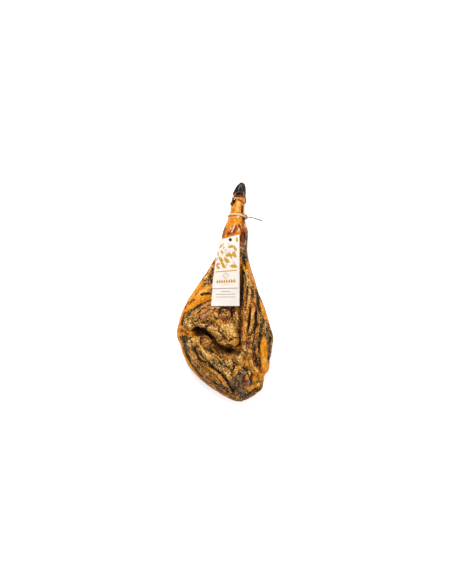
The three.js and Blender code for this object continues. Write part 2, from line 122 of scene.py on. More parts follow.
# What lies on the ham seen from above, one over the other: finish, half width, softness of the edge,
# raggedness, how much it stands up, and the path of its middle in x and y. The paths were picked by eye in
# enlargements of the photograph, and a separate script turned many of them to millimetres.
MARKS = [
    # broad fields
    ("red", 46, 12, 10, 0, [(86, 20), (76, -90), (74, -188), (92, -262)]),
    ("crust", 52, 10, 8, 0, [(-100, -205), (-60, -250), (0, -320)]),
    ("grey", 22, 8, 10, 0, [(-34, 96), (-58, 52), (-70, 20)]),
    ("grey", 26, 8, 10, 0, [(120, -50), (124, -122), (117, -178)]),
    ("shade", 22, 8, 5, 0, [(60, 60), (63, -54), (52, -140)]),
    ("shade", 26, 8, 8, 0, [(-20, -206), (20, -214), (40, -212)]),
    # left side, from the shank down
    ("deep_fat", 5, 2.8, 2, 0, [(-34, 104), (-60, 72), (-83, 40)]),
    ("fat", 12, 5, 5, 0.6,
     [(-84, 34), (-108, 8), (-124, -12), (-140, -50), (-150, -84), (-161, -116), (-166, -150)]),
    ("fat", 12, 5, 4, 1.2, [(-122, -30), (-96, -24), (-70, -18), (-52, -18)]),
    ("fat", 8, 5, 4, 0.8, [(-110, -6), (-84, 6), (-52, 18)]),
    ("tan", 7, 3, 4, 0.4, [(-62, 8), (-52, -4)]),
    ("black", 4, 1.5, 2, -1.0, [(-80, -10), (-66, -8), (-54, -9)]),
    ("black", 4.5, 2, 4, -1.2,
     [(-50, -31), (-76, -41), (-99, -55), (-119, -66), (-142, -78), (-149, -99), (-149, -116)]),
    ("olive", 23, 4, 5, 0, [(-126, -92), (-112, -84)]),
    ("grey", 6, 3, 5, 0, [(-118, -70), (-96, -60)]),
    ("red", 10, 4, 4, 0, [(-96, -86), (-72, -96), (-40, -92)]),
    ("meat", 26, 4, 4, 0, [(-66, -72), (-54, -62), (-46, -52)]),
    ("red", 7, 3, 3, 0, [(-94, -84), (-80, -66), (-60, -50)]),
    ("meat_line", 1.8, 0.8, 1, -0.5, [(-99, -80), (-78, -59), (-49, -46)]),
    ("meat_line", 1.8, 0.8, 1, -0.5, [(-36, -58), (-42, -80), (-60, -91), (-86, -98)]),
    ("meat_line", 1.6, 0.8, 1, -0.4, [(-70, -76), (-56, -60), (-42, -63), (-48, -80), (-66, -86)]),
    ("bone", 21, 3, 3, 0, [(-4, -76), (0, -80)]),
    ("grey", 9, 3, 3, 0, [(-14, -70), (-6, -62)]),
    ("red", 9, 3, 3, 0, [(0, -82), (8, -86)]),
    ("dark", 2.4, 1, 1, -1.2,
     [(-22, -62), (-6, -55), (10, -58), (21, -72), (20, -88), (10, -100), (-8, -101)]),
    ("deep_fat", 4, 2.8, 3, 0.6, [(-28, -66), (-28, -84), (-20, -98)]),
    # flap over the hip bone
    ("gold", 30, 4, 5, 0, [(-34, -104), (0, -118), (24, -150), (28, -170)]),
    ("gold", 12, 4, 4, 0, [(24, -72), (34, -92), (36, -130)]),
    ("pale_fat", 5, 2, 4, 0.6, [(-42, -96), (-28, -104), (-12, -112)]),
    ("pale_fat", 6, 4, 5, 0.3, [(4, -118), (16, -132), (24, -146)]),
    ("red", 3.5, 1.5, 2, -0.4, [(-62, -98), (-30, -132), (4, -162)]),
    ("olive", 15, 3, 4, 0, [(-50, -134), (-28, -164), (-6, -180)]),
    ("gold", 5, 2, 4, 0.8, [(-108, -122), (-88, -119), (-66, -118)]),
    ("olive_fat", 4, 1.2, 2, 1.0, [(-60, -126), (-50, -140), (-40, -151)]),
    ("tan", 3, 1.5, 2, 0.4, [(40, -116), (38, -150)]),
    ("fat", 9, 4.5, 3, 1.2, [(34, -181), (42, -178)]),
    ("black", 3, 1.5, 3, -0.8, [(16, -192), (36, -194), (50, -186), (54, -168)]),
    # pocket under it and the gully that leads out, painted dark as the shade in them
    ("dark", 17, 2, 2, 0, [(-98, -139), (-74, -143), (-54, -150)]),
    ("painted_hollow_shade", 12, 6, 2, 0, [(-96, -139), (-74, -143), (-62, -146)]),
    ("painted_hollow_shade", 9, 2, 2, 0, [(-113, -137), (-98, -140)]),
    ("painted_hollow_shade", 12, 5, 3, 0, [(-42, -160), (-28, -190), (-14, -210)]),
    ("black", 8, 4, 4, 0, [(-28, -200), (-12, -214)]),
    ("fat", 12, 5, 3, 0.8, [(-156, -132), (-134, -144), (-118, -150)]),
    ("deep_fat", 5, 4, 3, 0, [(-154, -134), (-134, -148)]),
    ("deep_fat", 6, 5, 3, 0, [(-132, -152), (-116, -156)]),
    # the shank's side beside the tag
    ("black", 11, 4, 6, 0, [(62, 143), (68, 117), (76, 98), (83, 78)]),
    ("deep_fat", 4, 2, 3, 0.2, [(79, 135), (85, 100), (93, 71)]),
    ("red_skin", 13, 4, 3, 0, [(73, 252), (75, 200), (78, 164)]),
    ("dark_skin", 6, 3, 3, 0, [(76, 262), (80, 236)]),
    ("dark_skin", 10, 3, 4, 0, [(64, 204), (71, 188), (76, 160), (78, 146)]),
    ("dark_skin", 5, 3, 3, 0, [(84, 222), (86, 190), (88, 150)]),
    ("red_skin", 8, 3, 3, 0, [(56, 195), (57, 173), (60, 151)]),
    ("dark_skin", 2.4, 1.5, 2, 0, [(53, 191), (52, 170), (53, 152)]),
    # painted highlight on the dark skin of the shank's side
    ("painted_skin_highlight", 1.6, 1, 2, 0, [(71, 182), (71, 170)]),
    ("grey", 6, 3, 4, 0, [(58, 172), (60, 140)]),
    ("deep_fat", 3, 2.3, 1.5, 0, [(78, 178), (80, 140), (88, 100)]),
    ("gold", 11, 4, 4, 0.3, [(72, 71), (79, 50), (84, 29)]),
    ("fat", 5.5, 3, 3, 1.0, [(51, 107), (64, 91), (75, 73)]),
    ("black", 1.6, 0.9, 2, -0.8, [(65, 78), (73, 54), (76, 26)]),
    ("black", 1.6, 0.9, 2, -0.8, [(76, 68), (84, 47), (89, 26)]),
    ("black", 1.6, 0.9, 2, -0.8, [(62, 68), (65, 43), (67, 26)]),
    ("tan", 8, 3, 4, 0.4, [(88, 36), (90, 12)]),
    ("deep_fat", 6, 4, 4, 0, [(94, 62), (112, 18), (124, -20), (142, -70)]),
    ("fat", 5.5, 3, 2, 0.8, [(122, -36), (132, -66), (141, -96)]),
    ("black", 3.5, 1.5, 3, -1.2, [(80, 16), (77, -22), (68, -76), (64, -104)]),
    ("black", 3, 1.5, 3, -0.6, [(72, 19), (86, 15), (106, 18)]),
    ("black", 3, 1.5, 4, -0.8, [(92, 14), (97, -30)]),
    ("black", 4, 1.5, 4, -0.8, [(119, 6), (118, -36), (122, -60)]),
    ("tan", 4.5, 2, 4, 0.6, [(88, 2), (84, -52)]),
    ("tan", 4.5, 2, 4, 0.6, [(106, 2), (107, -52)]),
    # long folds
    ("red", 10, 3, 3, 0.4, [(82, -58), (68, -98), (60, -145), (72, -190)]),
    ("tan", 7, 3, 4, 0.6, [(99, -62), (97, -98), (90, -156)]),
    ("dark_skin", 3, 1.5, 1.5, -1.0, [(90, -60), (87, -98), (80, -152)]),
    ("black", 5, 2, 7, -0.6, [(132, -86), (128, -122), (118, -168), (122, -206)]),
    ("tan", 4, 2, 5, 0.6, [(122, -82), (118, -118), (112, -150)]),
    ("tan", 3, 1.5, 4, 0.5, [(140, -118), (132, -150)]),
    ("gold", 11, 4, 5, 0.4, [(72, -196), (82, -240), (96, -282)]),
    ("pale_fat", 3, 1.5, 3, 0.5, [(84, -200), (88, -246), (106, -286)]),
    ("red", 8, 3, 4, 0, [(102, -178), (106, -214), (98, -246)]),
    ("black", 10, 3, 8, 0, [(112, -236), (110, -256)]),
    ("black", 2.5, 1.2, 2, -1.0, [(92, -252), (102, -276), (112, -292)]),
    # right side
    ("grey", 7, 3, 5, 0, [(152, -100), (166, -152), (168, -186), (160, -226)]),
    ("black", 3, 1.5, 3, -0.8, [(148, -122), (157, -168), (154, -214), (158, -240)]),
    ("fat", 13, 5, 4, 1.4, [(134, -172), (138, -204), (136, -240), (146, -272)]),
    ("fat", 9, 5, 4, 0.6, [(146, -272), (136, -292), (128, -304)]),
    # rump muscle
    ("olive", 22, 6, 10, 0, [(-128, -178), (-112, -216), (-94, -240)]),
    ("tan", 10, 3, 4, 0.6, [(-100, -168), (-94, -174)]),
    ("bone", 13, 4, 5, 0, [(-66, -172), (-58, -182)]),
    ("tan", 12, 5, 8, 0, [(-88, -196), (-66, -216), (-50, -232)]),
    ("gold", 15, 5, 8, 0, [(-34, -232), (-10, -262), (18, -280)]),
    ("rind", 20, 6, 5, 0.6, [(-86, -258), (-56, -288), (-24, -318)]),
    ("crust", 14, 5, 8, 0, [(-20, -316), (4, -342), (26, -368)]),
    ("pale_fat", 4, 2, 2, 0.6, [(10, -292), (14, -298)]),
    ("gold", 14, 5, 6, 0, [(30, -252), (52, -246), (66, -260)]),
    ("black", 2.6, 1.3, 3, -1.6, [(-106, -196), (-96, -226), (-86, -238), (-60, -258), (-42, -270)]),
    ("black", 2.2, 1.3, 3, -1.4, [(-42, -270), (-26, -284), (-4, -306), (14, -328), (24, -352), (40, -378)]),
    ("black", 3, 1.6, 4, -0.8, [(-144, -168), (-143, -200), (-130, -236), (-112, -270), (-88, -300)]),
    # lump at the rump
    ("rust", 32, 5, 5, 0, [(46, -306), (64, -330), (60, -350)]),
    ("red", 9, 4, 4, 0, [(72, -312), (74, -328)]),
    ("grey", 11, 4, 6, 0, [(30, -344), (46, -360)]),
    ("black", 3, 1.6, 3, -1.0, [(62, -268), (78, -290), (92, -316)]),
    ("deep_fat", 9, 4.5, 3, 1.0, [(106, -296), (108, -308)]),
    ("fat", 6, 4, 3, 1.0, [(84, -342), (100, -338), (116, -330)]),
    ("black", 6, 2, 4, 0.8, [(54, -378), (80, -362), (104, -352), (126, -338)]),
    # outermost rim, left and right of the rump
    ("fat", 6, 4, 3, 0.4, [(-166, -146), (-156, -192), (-138, -236), (-108, -280), (-84, -302)]),
    ("shade", 6, 2, 4, 0, [(-80, -306), (-50, -338), (-16, -364), (20, -382)]),
    ("deep_fat", 3, 2.3, 2, 0, [(-76, -318), (-36, -352), (0, -376)]),
    # shank and ankle
    ("red_skin", 10, 6, 4, 0, [(36, 226), (30, 214), (14, 204)]),
    ("red_skin", 6, 4, 2, 0, [(0, 222), (-6, 205), (-6, 196)]),
    # painted highlights on the ankle
    ("painted_skin_highlight", 5, 4, 2, 0, [(48, 328), (48, 312), (44, 288)]),
    ("painted_skin_highlight", 2.6, 1.6, 2, 0, [(45, 312), (43, 296)]),
    # painted highlights streaked along the shank's skin
    ("painted_highlight", 2.2, 1, 2, 0.5, [(35, 239), (31, 226), (25, 212)]),
    ("painted_highlight", 1.7, 0.8, 2, 0.4, [(49, 222), (45, 213)]),
    ("painted_highlight", 1.2, 0.7, 2, 0.3, [(48, 270), (43, 263)]),
    ("painted_highlight", 1.2, 0.7, 2, 0.2, [(21, 224), (16, 211)]),
    # painted highlight along the tendon
    ("painted_skin_highlight", 1.3, 0.8, 2, 0.2, [(54, 237), (57, 224), (54, 212)]),
    ("red_skin", 3.2, 2, 2, 0, [(49, 234), (54, 224), (58, 213)]),
    # painted highlight on the shank's right side
    ("painted_skin_highlight", 4, 3, 2, 0, [(70, 236), (72, 228)]),
    ("deep_fat", 6, 5, 2, 0.5, [(73, 226), (75, 214)]),
    ("red_skin", 4, 2, 2, -0.3, [(48, 326), (58, 320), (68, 313)]),
    # painted shade in the slit on the ankle
    ("dark", 3.6, 1.2, 1, -0.5, [(61, 303), (60, 281)]),
    ("dark_skin", 4, 2, 2, 0, [(62, 272), (66, 258)]),
    ("red_skin", 4, 1.5, 1, 2.0, [(24, 332), (30, 341)]),
    ("black", 3.5, 1.5, 1, 0, [(40, 341), (48, 346), (62, 346), (70, 337)]),
    # finer marks over them, part by part
    # flap over the hip bone
    ("tan", 3, 1.2, 1, 0.6, [(-62, -99), (-34, -117), (-7, -140), (12, -163)]),
    ("dark", 1.4, 0.7, 1, -0.8, [(-36, -105), (-16, -124), (3, -144), (19, -165)]),
    ("tan", 9, 4, 4, 0.2, [(-2, -126), (19, -150), (30, -170)]),
    ("red", 6, 3, 4, 0.2, [(-25, -106), (-2, -110), (23, -103)]),
    ("pale_fat", 2.2, 1.2, 3, 0.6, [(-19, -116), (1, -126), (11, -150)]),
    ("pale_fat", 2, 1.2, 3, 0.5, [(30, -112), (34, -133), (32, -156)]),
    ("rust", 3.4, 1.6, 2, -0.2, [(-25, -95), (-8, -100), (13, -96)]),
    ("tan", 1.8, 0.8, 1, 0.5, [(39, -109), (42, -129), (44, -150)]),
    ("fat", 2, 1, 1.5, 0.6, [(-42, -92), (-26, -105), (-10, -111)]),
    ("gold", 7, 2.5, 2, 0.6, [(26, -65), (33, -75)]),
    ("dark", 3, 1.5, 2, -0.6, [(20, -62), (24, -75), (23, -90)]),
    ("red", 7, 3, 3, 0, [(-13, -98), (1, -105), (16, -99)]),
    # left lobe and what lies between it and the meat
    ("olive", 11, 4, 3, 0, [(-122, -78), (-135, -94), (-135, -111)]),
    ("tan", 5, 3, 3, 0.3, [(-124, -89), (-118, -108)]),
    ("black", 2.6, 1.4, 2, -0.8,
     [(-151, -114), (-146, -89), (-140, -76), (-121, -62), (-99, -51), (-86, -44), (-72, -36), (-51, -29)]),
    ("deep_fat", 3, 2, 1.5, 0.5, [(-154, -116), (-151, -94), (-144, -77)]),
    ("black", 4, 2, 3, 0, [(-109, -91), (-120, -95)]),
    ("gold", 5, 2, 2, 0.6, [(-133, -109), (-120, -124), (-125, -132)]),
    ("tan", 4.5, 2, 2, 0.4, [(-104, -109), (-83, -103), (-52, -99)]),
    ("black", 3, 1.4, 2, -0.6, [(-105, -105), (-93, -98)]),
    ("black", 2.2, 1, 2, -0.8, [(-104, -124), (-86, -118), (-64, -126)]),
    ("gold", 3, 1.2, 2, 0.8, [(-104, -119), (-83, -114), (-65, -121)]),
    # pocket
    ("olive", 14, 4, 3, 0.4, [(-29, -150), (-16, -174), (-2, -176)]),
    ("tan", 8, 3, 3, 0.3, [(-52, -133), (-31, -156), (-7, -179)]),
    ("gold", 5, 2.5, 3, 0.4, [(-56, -116), (-34, -133), (-7, -163)]),
    ("tan", 7, 3, 3, 0.3, [(-34, -149), (-17, -165), (-1, -182)]),
    ("olive_fat", 2.6, 1.2, 1.5, 1, [(-61, -126), (-51, -142), (-40, -152)]),
    ("dark", 2, 1, 1, -0.6, [(-23, -174), (-5, -165), (5, -166)]),
    ("gold", 8, 4, 3, 0.3, [(-8, -120), (7, -141)]),
    ("pale_fat", 5, 3, 3, 0.3, [(-48, -91), (-25, -110)]),
    ("bone", 9, 4, 3, 0, [(-9, -93), (7, -96)]),
    # lumps on the rump muscle
    ("tan", 9, 3, 2, 0.4, [(-107, -174), (-102, -182)]),
    ("pale_fat", 3, 1.5, 2, 0.4, [(-117, -165), (-109, -171)]),
    ("red", 14, 4, 3, 0, [(-75, -168), (-64, -176)]),
    ("grey", 5, 3, 3, 0, [(-77, -160), (-61, -161)]),
    ("dark", 2.2, 1, 1.5, -1, [(-85, -163), (-88, -176), (-85, -189)]),
    ("dark", 1.6, 0.8, 1, -0.6, [(-49, -161), (-45, -176), (-49, -187)]),
    # rump muscle
    ("black", 2.6, 1.8, 4, -0.4, [(-133, -161), (-140, -182), (-135, -202)]),
    ("gold", 5, 2.5, 3, 0.4, [(-127, -176), (-122, -192)]),
    ("tan", 8, 4, 4, 0.2, [(-122, -200), (-119, -217), (-99, -229)]),
    ("black", 2.4, 1.2, 1.5, -1.4, [(-109, -200), (-99, -218), (-91, -239)]),
    ("black", 3.2, 1.2, 1.5, -1.4, [(-75, -244), (-59, -254), (-41, -268)]),
    ("gold", 4, 1.6, 2, 0.6, [(-38, -223), (-13, -236), (4, -251)]),
    ("gold", 3.5, 1.6, 3, 0.4, [(-86, -192), (-73, -215), (-49, -228)]),
    ("grey", 9, 3, 4, 0, [(-29, -251), (-13, -265), (3, -278)]),
    ("black", 2.2, 1, 1.5, -1.2, [(-39, -270), (-18, -288), (3, -312), (22, -341), (39, -370)]),
    ("red", 5, 2, 2, 0.4, [(-29, -291), (-8, -312), (5, -330)]),
    ("rind", 11, 3, 2, 0.8, [(-65, -301), (-49, -294), (-39, -286)]),
    ("tan", 1.8, 0.8, 1, 0.6, [(-73, -305), (-65, -290), (-49, -280)]),
    ("crust", 9, 4, 4, 0, [(-104, -249), (-89, -273), (-78, -288)]),
    ("black", 3.4, 1.4, 2, -0.9, [(-142, -202), (-135, -221), (-111, -265), (-85, -297)]),
    ("black", 3, 1.4, 3, -0.6, [(-39, -317), (-13, -333), (13, -356)]),
    ("deep_fat", 3.5, 1.6, 2, 0.3, [(-16, -353), (5, -361), (26, -369)]),
    ("grey", 9, 4, 4, 0, [(-42, -236), (-27, -260)]),
    ("black", 1.8, 1, 3, -0.5, [(-49, -232), (-36, -249), (-19, -267)]),
    ("tan", 7, 3, 4, 0.2, [(-44, -280), (-27, -297)]),
    ("gold", 6, 3, 3, 0.3, [(-84, -280), (-59, -292)]),
    # lump at the rump and what is around it
    ("black", 3.4, 1.6, 2, -0.3, [(45, -287), (52, -283), (69, -290)]),
    ("gold", 7, 3, 3, 0.3, [(17, -252), (31, -269), (13, -287)]),
    ("red", 8, 3, 2, 0.2, [(76, -309), (76, -320)]),
    ("rust", 8, 3, 2, 0, [(24, -317), (34, -341), (42, -356)]),
    ("rust", 8, 4, 3, 0, [(38, -302), (44, -326)]),
    ("tan", 9, 4, 4, 0.2, [(28, -272), (36, -290)]),
    ("dark", 2.4, 1.2, 1, -0.6, [(35, -335), (37, -337)]),
    ("black", 2.6, 1.1, 1.5, -1, [(68, -271), (89, -305), (94, -323)]),
    ("fat", 8, 2.5, 2, 0.8, [(104, -305), (105, -311)]),
    ("pale_fat", 5, 2, 2, 0.8, [(84, -344), (100, -336), (117, -327)]),
    ("black", 6, 2, 2, 1.2, [(130, -338), (94, -364), (61, -385)]),
    ("black", 2.6, 1.4, 2, -0.4, [(61, -308), (71, -330)]),
    ("grey", 8, 3, 3, 0, [(56, -342), (71, -360)]),
    ("black", 6, 3, 2, 0, [(18, -390), (50, -388)]),
    # middle of the rump
    ("pale_fat", 3, 1.5, 2, 0.5, [(23, -266), (28, -270)]),
    ("dark", 3, 1.4, 2, -0.5, [(29, -278), (34, -257)]),
    ("gold", 8, 4, 4, 0.3, [(11, -257), (13, -283)]),
    ("tan", 9, 4, 4, 0.2, [(39, -244), (52, -257)]),
    # painted shade in the gully below the pocket
    ("painted_hollow_shade", 9, 4, 3, 0, [(-13, -195), (3, -208), (13, -221)]),
    ("black", 9, 3, 3, -0.3, [(-18, -202), (-13, -215)]),
    ("painted_hollow_shade", 11, 5, 4, 0, [(-26, -202), (-1, -206), (31, -211), (45, -216)]),
    ("rust", 6, 4, 4, 0, [(10, -220), (34, -231)]),
    # right side
    ("red", 10, 4, 4, 0.2, [(102, -161), (110, -192)]),
    ("gold", 12, 4, 3, 0.3, [(60, -220), (68, -243), (83, -273)]),
    ("fat", 3, 1.6, 2, 0.5, [(67, -214), (76, -238), (86, -267)]),
    ("fat", 11, 4, 3, 0.8, [(136, -166), (137, -192), (136, -228), (144, -275)]),
    ("pale_fat", 5, 3, 3, 0.4, [(135, -218), (138, -244)]),
    ("black", 3.4, 1.4, 2, -0.8, [(130, -153), (121, -187), (117, -223), (126, -257)]),
    ("black", 9, 3, 3, -0.3, [(109, -244), (112, -257)]),
    ("pale_fat", 2.2, 1, 1.5, 0.8, [(99, -265), (115, -284), (134, -298)]),
    ("fat", 6, 3, 2, 0.5, [(117, -288), (130, -301)]),
    ("tan", 3, 1.4, 1.5, 0.6, [(79, -197), (87, -228), (100, -271)]),
    ("red", 7, 3, 3, 0.2, [(71, -64), (61, -106), (66, -140), (81, -171)]),
    ("tan", 4.2, 1.6, 1.5, 0.6, [(100, -59), (97, -98), (86, -140)]),
    ("dark", 1.8, 0.8, 1, -0.8, [(88, -59), (87, -98), (81, -140)]),
    ("black", 5.2, 2, 2.5, -0.5, [(108, -77), (105, -124), (89, -152)]),
    ("grey", 6, 3, 3, 0, [(128, -98), (138, -140), (151, -176)]),
    ("black", 3, 1.3, 2, -0.6, [(117, -51), (128, -93), (145, -132)]),
    ("fat", 4, 2, 1.5, 0.7, [(126, -46), (145, -88), (152, -106)]),
    ("tan", 4, 2, 2, 0.3, [(154, -106), (164, -130)]),
    ("black", 4, 1.8, 2.5, -0.5, [(155, -129), (162, -161), (157, -208), (151, -236)]),
    ("black", 3.2, 1.1, 1.5, -0.6, [(78, 8), (76, -36), (73, -62)]),
    ("black", 3.2, 1.1, 1.5, -0.6, [(97, 4), (100, -17), (101, -52)]),
    ("black", 3.8, 1.2, 1.5, -0.6, [(110, 8), (113, -9), (115, -46)]),
    ("tan", 2.4, 1, 1.5, 0.6, [(87, -4), (83, -41)]),
    ("tan", 2.4, 1, 1.5, 0.6, [(106, -9), (105, -46)]),
    ("gold", 6, 4, 1.5, 0, [(64, 26), (63, -50), (60, -90)]),
    ("fat", 5, 3, 2, 0.4, [(80, 100), (89, 64), (100, 36), (110, 15)]),
    # painted shadow of the tag's right edge on the leg
    ("dark_skin", 4, 2.5, 1.5, -0.3, [(54, 1), (52, -56)]),
    ("red", 5, 3, 3, 0, [(56, -140), (65, -176)]),
    ("black", 2.6, 1.2, 2, -0.8, [(55, -161), (50, -187), (29, -195)]),
    ("black", 2.6, 1.2, 3, -0.4, [(13, -174), (29, -161), (50, -161)]),
    ("tan", 4, 2, 3, 0.3, [(63, -85), (70, -120)]),
    ("red", 6, 3, 4, 0.2, [(101, -167), (107, -214)]),
    ("fat", 3, 1.5, 2, 0.4, [(93, -267), (111, -296)]),
    ("fat", 5, 3, 3, 0.4, [(63, -232), (76, -258)]),
    # upper left
    ("tan", 7, 3, 4, 0.2, [(-47, 89), (-57, 68), (-66, 50)]),
    ("black", 1.6, 0.9, 2, -0.6, [(-40, 85), (-52, 61), (-61, 33)]),
    ("black", 1.6, 0.9, 2, -0.6, [(-55, 78), (-68, 57), (-82, 33)]),
    ("fat", 11, 4, 3, 0.6, [(-61, -21), (-91, -34), (-113, -45), (-135, -62)]),
    ("pale_fat", 3, 1.6, 2, 0.6, [(-99, -15), (-83, 0), (-64, 4)]),
    ("black", 2.4, 1.1, 1.5, -1, [(-50, -7), (-70, -6), (-84, -10)]),
    ("deep_fat", 4, 2.5, 3, -0.2, [(-105, -28), (-133, -45), (-140, -59)]),
    ("red", 4, 2.5, 3, -0.2, [(-165, -129), (-163, -142)]),
    # smooth patch at the rump and what is around it
    ("leather", 16, 4, 4, 0.2, [(50, -300), (56, -352)]),
    ("leather", 13, 4, 4, 0.2, [(28, -318), (80, -322)]),
    ("meat_line", 7, 5, 2, 0, [(66, -303), (68, -328)]),
    ("tan", 2.6, 1.2, 1.5, 0.8, [(46, -280), (31, -298), (12, -308)]),
    ("dark", 2.6, 1.4, 1, -0.6, [(48, -291), (55, -290)]),
    ("fat", 5, 2.2, 2, 0.6, [(84, -342), (101, -336), (111, -326)]),
    ("black", 3.6, 2, 2, -0.5, [(66, -364), (89, -359), (109, -349)]),
    ("deep_fat", 4, 2, 2, 0, [(68, -386), (108, -366), (129, -348), (134, -322)]),
    ("gold", 6, 3, 3, 0, [(88, -286), (92, -304)]),
    ("gold", 5, 3, 3, 0, [(36, -320), (38, -328)]),
    ("gold", 5, 3, 3, 0, [(34, -248), (38, -256)]),
    ("rust", 5, 3, 3, 0, [(16, -378), (38, -378)]),
]

# Smaller dabs strewn over all crust: finish, size, seed and how rare they are.
DABS = [
    ("black", 12, 71, 0.6),
    ("tan", 13, 83, 0.55),
    ("red", 17, 97, 0.55),
    ("grey", 20, 105, 0.6),
    ("gold", 12, 113, 0.6),
]

# What lies on the horn, painted highlights among it: colour, half width, softness and path.
HORN_MARKS = [
    ("#5e4c3e", 1.5, 0.8, [(60, 386), (60, 356)]),
    # painted highlight on the left claw
    ("#5c4c40", 2, 1, [(47, 360), (50, 370), (54, 379)]),
    ("#5a4634", 1.6, 0.8, [(38, 351), (48, 354), (62, 352)]),
    ("#0c0806", 3.5, 1.2, [(40, 344), (50, 349), (66, 347)]),
    ("#a06c2a", 1.8, 1, [(66, 352), (68, 340)]),
    ("#b0641c", 3, 1, [(25, 337), (31, 342), (36, 345)]),
    # painted highlight on the dewclaw
    ("#c4beb6", 1.8, 0.8, [(33, 327), (37, 333)]),
    ("#6a3e14", 3.5, 1.5, [(22, 326), (24, 306)]),
]

# The tag, as in the model: it runs down the leg from its top edge and bends back round it at the left.
TAG_WIDTH = 99.5
TAG_RIGHT_X = 51
TAG_TOP_Y = 202
TAG_BOTTOM_Y = -50
TAG_EDGE = [(0, 107), (0.12, 115), (0.25, 122), (0.42, 127), (0.6, 127.5), (1, 125)]
TAG_BEND = 1.34
TAG_LAST_BEND = 0.02
TAG_FLATTENING = 0.7
TAG_SLANT = 19
TAG_SLANT_EASING = 1.5
CARD = 0.8
FRONT_LEAF_SHARE = 0.745
FRONT_LEAF_WIDTH = 94.5
LEAF_SPACING = 1.5
FRONT_LEAF_CURL = 2.4
CURL_POWER = 4

LEAF_ROWS = 90
LEAF_COLUMNS = 36

# What is printed on the tag: how far it lies from the tag's right edge, and its height on that edge.
INK = 0.16
LEAVES = [  # along, height, length, heading of single leaves
    (6, 176, 20, 1.0), (40, 164, 26, 2.8), (60, 146, 20, 0.3), (80, 166, 24, 1.9), (84, 138, 19, 0.9),
    (8, 146, 24, 0.6), (10, 122, 28, 0.7), (52, 132, 30, 2.7), (58, 116, 32, 0.2), (34, 108, 32, 0.3),
    (34, 92, 28, 2.9), (50, 88, 27, 0.6), (72, 90, 24, 0.1), (92, 100, 20, 2.2), (64, 102, 18, 1.0),
    (30, 122, 18, 1.5), (8, 86, 18, 0.5), (94, 118, 16, 1.7), (26, 138, 16, 2.4),
]
SPRIGS = [  # along, height, length, heading, curl, length of a leaf
    (8, 84, 96, 1.0, 0.5, 7),
    (90, 84, 100, 2.2, -0.7, 7),
    (50, 84, 70, 1.9, -0.8, 6),
    (20, 128, 60, 0.6, 0.5, 6),
]
LEAF_PLUMPNESS = 0.42
LEAF_STEPS = 12
STEM_STEPS = 14
RULE_Y = 76
LOZENGES_Y = 32
DIAMOND = (49, 60)
BACK_LINES = [(49, 18, 2), (49, 34, -8), (49, 34, -18)]  # middle, half length, height

# The cord, as in the model.
CORD_RADIUS = 2.5
LOOP_Y = 265
LOOP_SLOPE = 4
LOOP_TILT = 9
LOOP_MIDDLE = (43, 54)
LOOP_RADIUS = 3.1
KNOT_AT = (75, 265.5, 67)
KNOT_RADIUS = 5
KNOT_TUBE = 2.9
CORD_END = [
    (80, 265, 67), (86, 264, 67.3), (91, 263.3, 67), (95.8, 262.6, 66.3), (99.4, 262, 64.8),
    (102.5, 261.5, 62.3), (104.9, 261, 59.1), (106.7, 260.7, 55.4), (109.6, 260.2, 45), (112.8, 259.7, 33.9),
    (115.8, 259.1, 22.9), (118.6, 258.6, 13.4), (120.3, 258.4, 9.4), (122.6, 258, 6.4), (125.3, 257.6, 4.3),
    (128.4, 257.1, 3.1), (131.5, 256.6, 2.7), (134.5, 256, 2.7),
]
CORD_SPACING = 0.9  # between the rings of its mesh
KNOT_SPACING = 0.8
LOOP_STEPS = 48
KNOT_STEPS = 72
STRAND_PITCH = 14  # length of cord in which a strand goes once round
STRANDS = 3
STRAND_DEPTH = 0.06  # of the grooves between them, as a share of the radius

# Lights: name, place and target in metres, width in metres and power in watts.
LIGHTS = [
    ("key", (-0.6, 2.1, 3.4), (0, 0, 0), 0.9, 122),
    ("glint", (0.1, 1.0, 3.8), (0, 0.2, 0), 0.25, 12),
    ("fill", (2.2, -0.6, 3.0), (0, 0, 0), 2.2, 20),
]
WORLD_STRENGTH = 0.34
FLOOR_HALF = 12000


# Noise and measures on arrays of points


def lattice(cell, seed):
    """A number from 0 to 1 for each corner of a grid, the same on every run."""
    x, y, z = (cell[:, i].astype(np.int64) for i in range(3))
    mixed = (x * 374761393 + y * 668265263 + z * 1440662683 + seed * 974634777) & 0xFFFFFFFF
    mixed = ((mixed ^ (mixed >> 13)) * 1274126177) & 0xFFFFFFFF
    return ((mixed ^ (mixed >> 16)) & 0xFFFFFF) / 0xFFFFFF


def wander(points, size, seed):
    """Smooth noise from -1 to 1 with bumps about this size."""
    scaled = points / size
    cell = np.floor(scaled)
    share = scaled - cell
    share = share * share * (3 - 2 * share)
    total = np.zeros(len(points))
    for corner in np.ndindex(2, 2, 2):
        weight = np.prod(np.where(np.array(corner), share, 1 - share), axis=1)
        total += weight * lattice(cell + np.array(corner), seed)
    return total * 2 - 1


def octaves(points, size, count, seed):
    """Noise of several sizes, each half the last and half as strong."""
    total = np.zeros(len(points))
    for step in range(count):
        total += wander(points, size / 2**step, seed + step) / 2**step
    return total


def smooth_step(low, high, value):
    share = np.clip((value - low) / (high - low), 0, 1)
    return share * share * (3 - 2 * share)


def fibre_shares(points):
    """How far the fibres run down the leg, and how far they run across the rump, from 0 to 1."""
    x, y = points[:, 0], points[:, 1]
    right = smooth_step(44, 66, x - 0.1 * y) * (1 - smooth_step(110, 150, y))
    slant = (1 - smooth_step(20, 60, x)) * (1 - smooth_step(-205, -165, y))
    return right, slant * (1 - right)


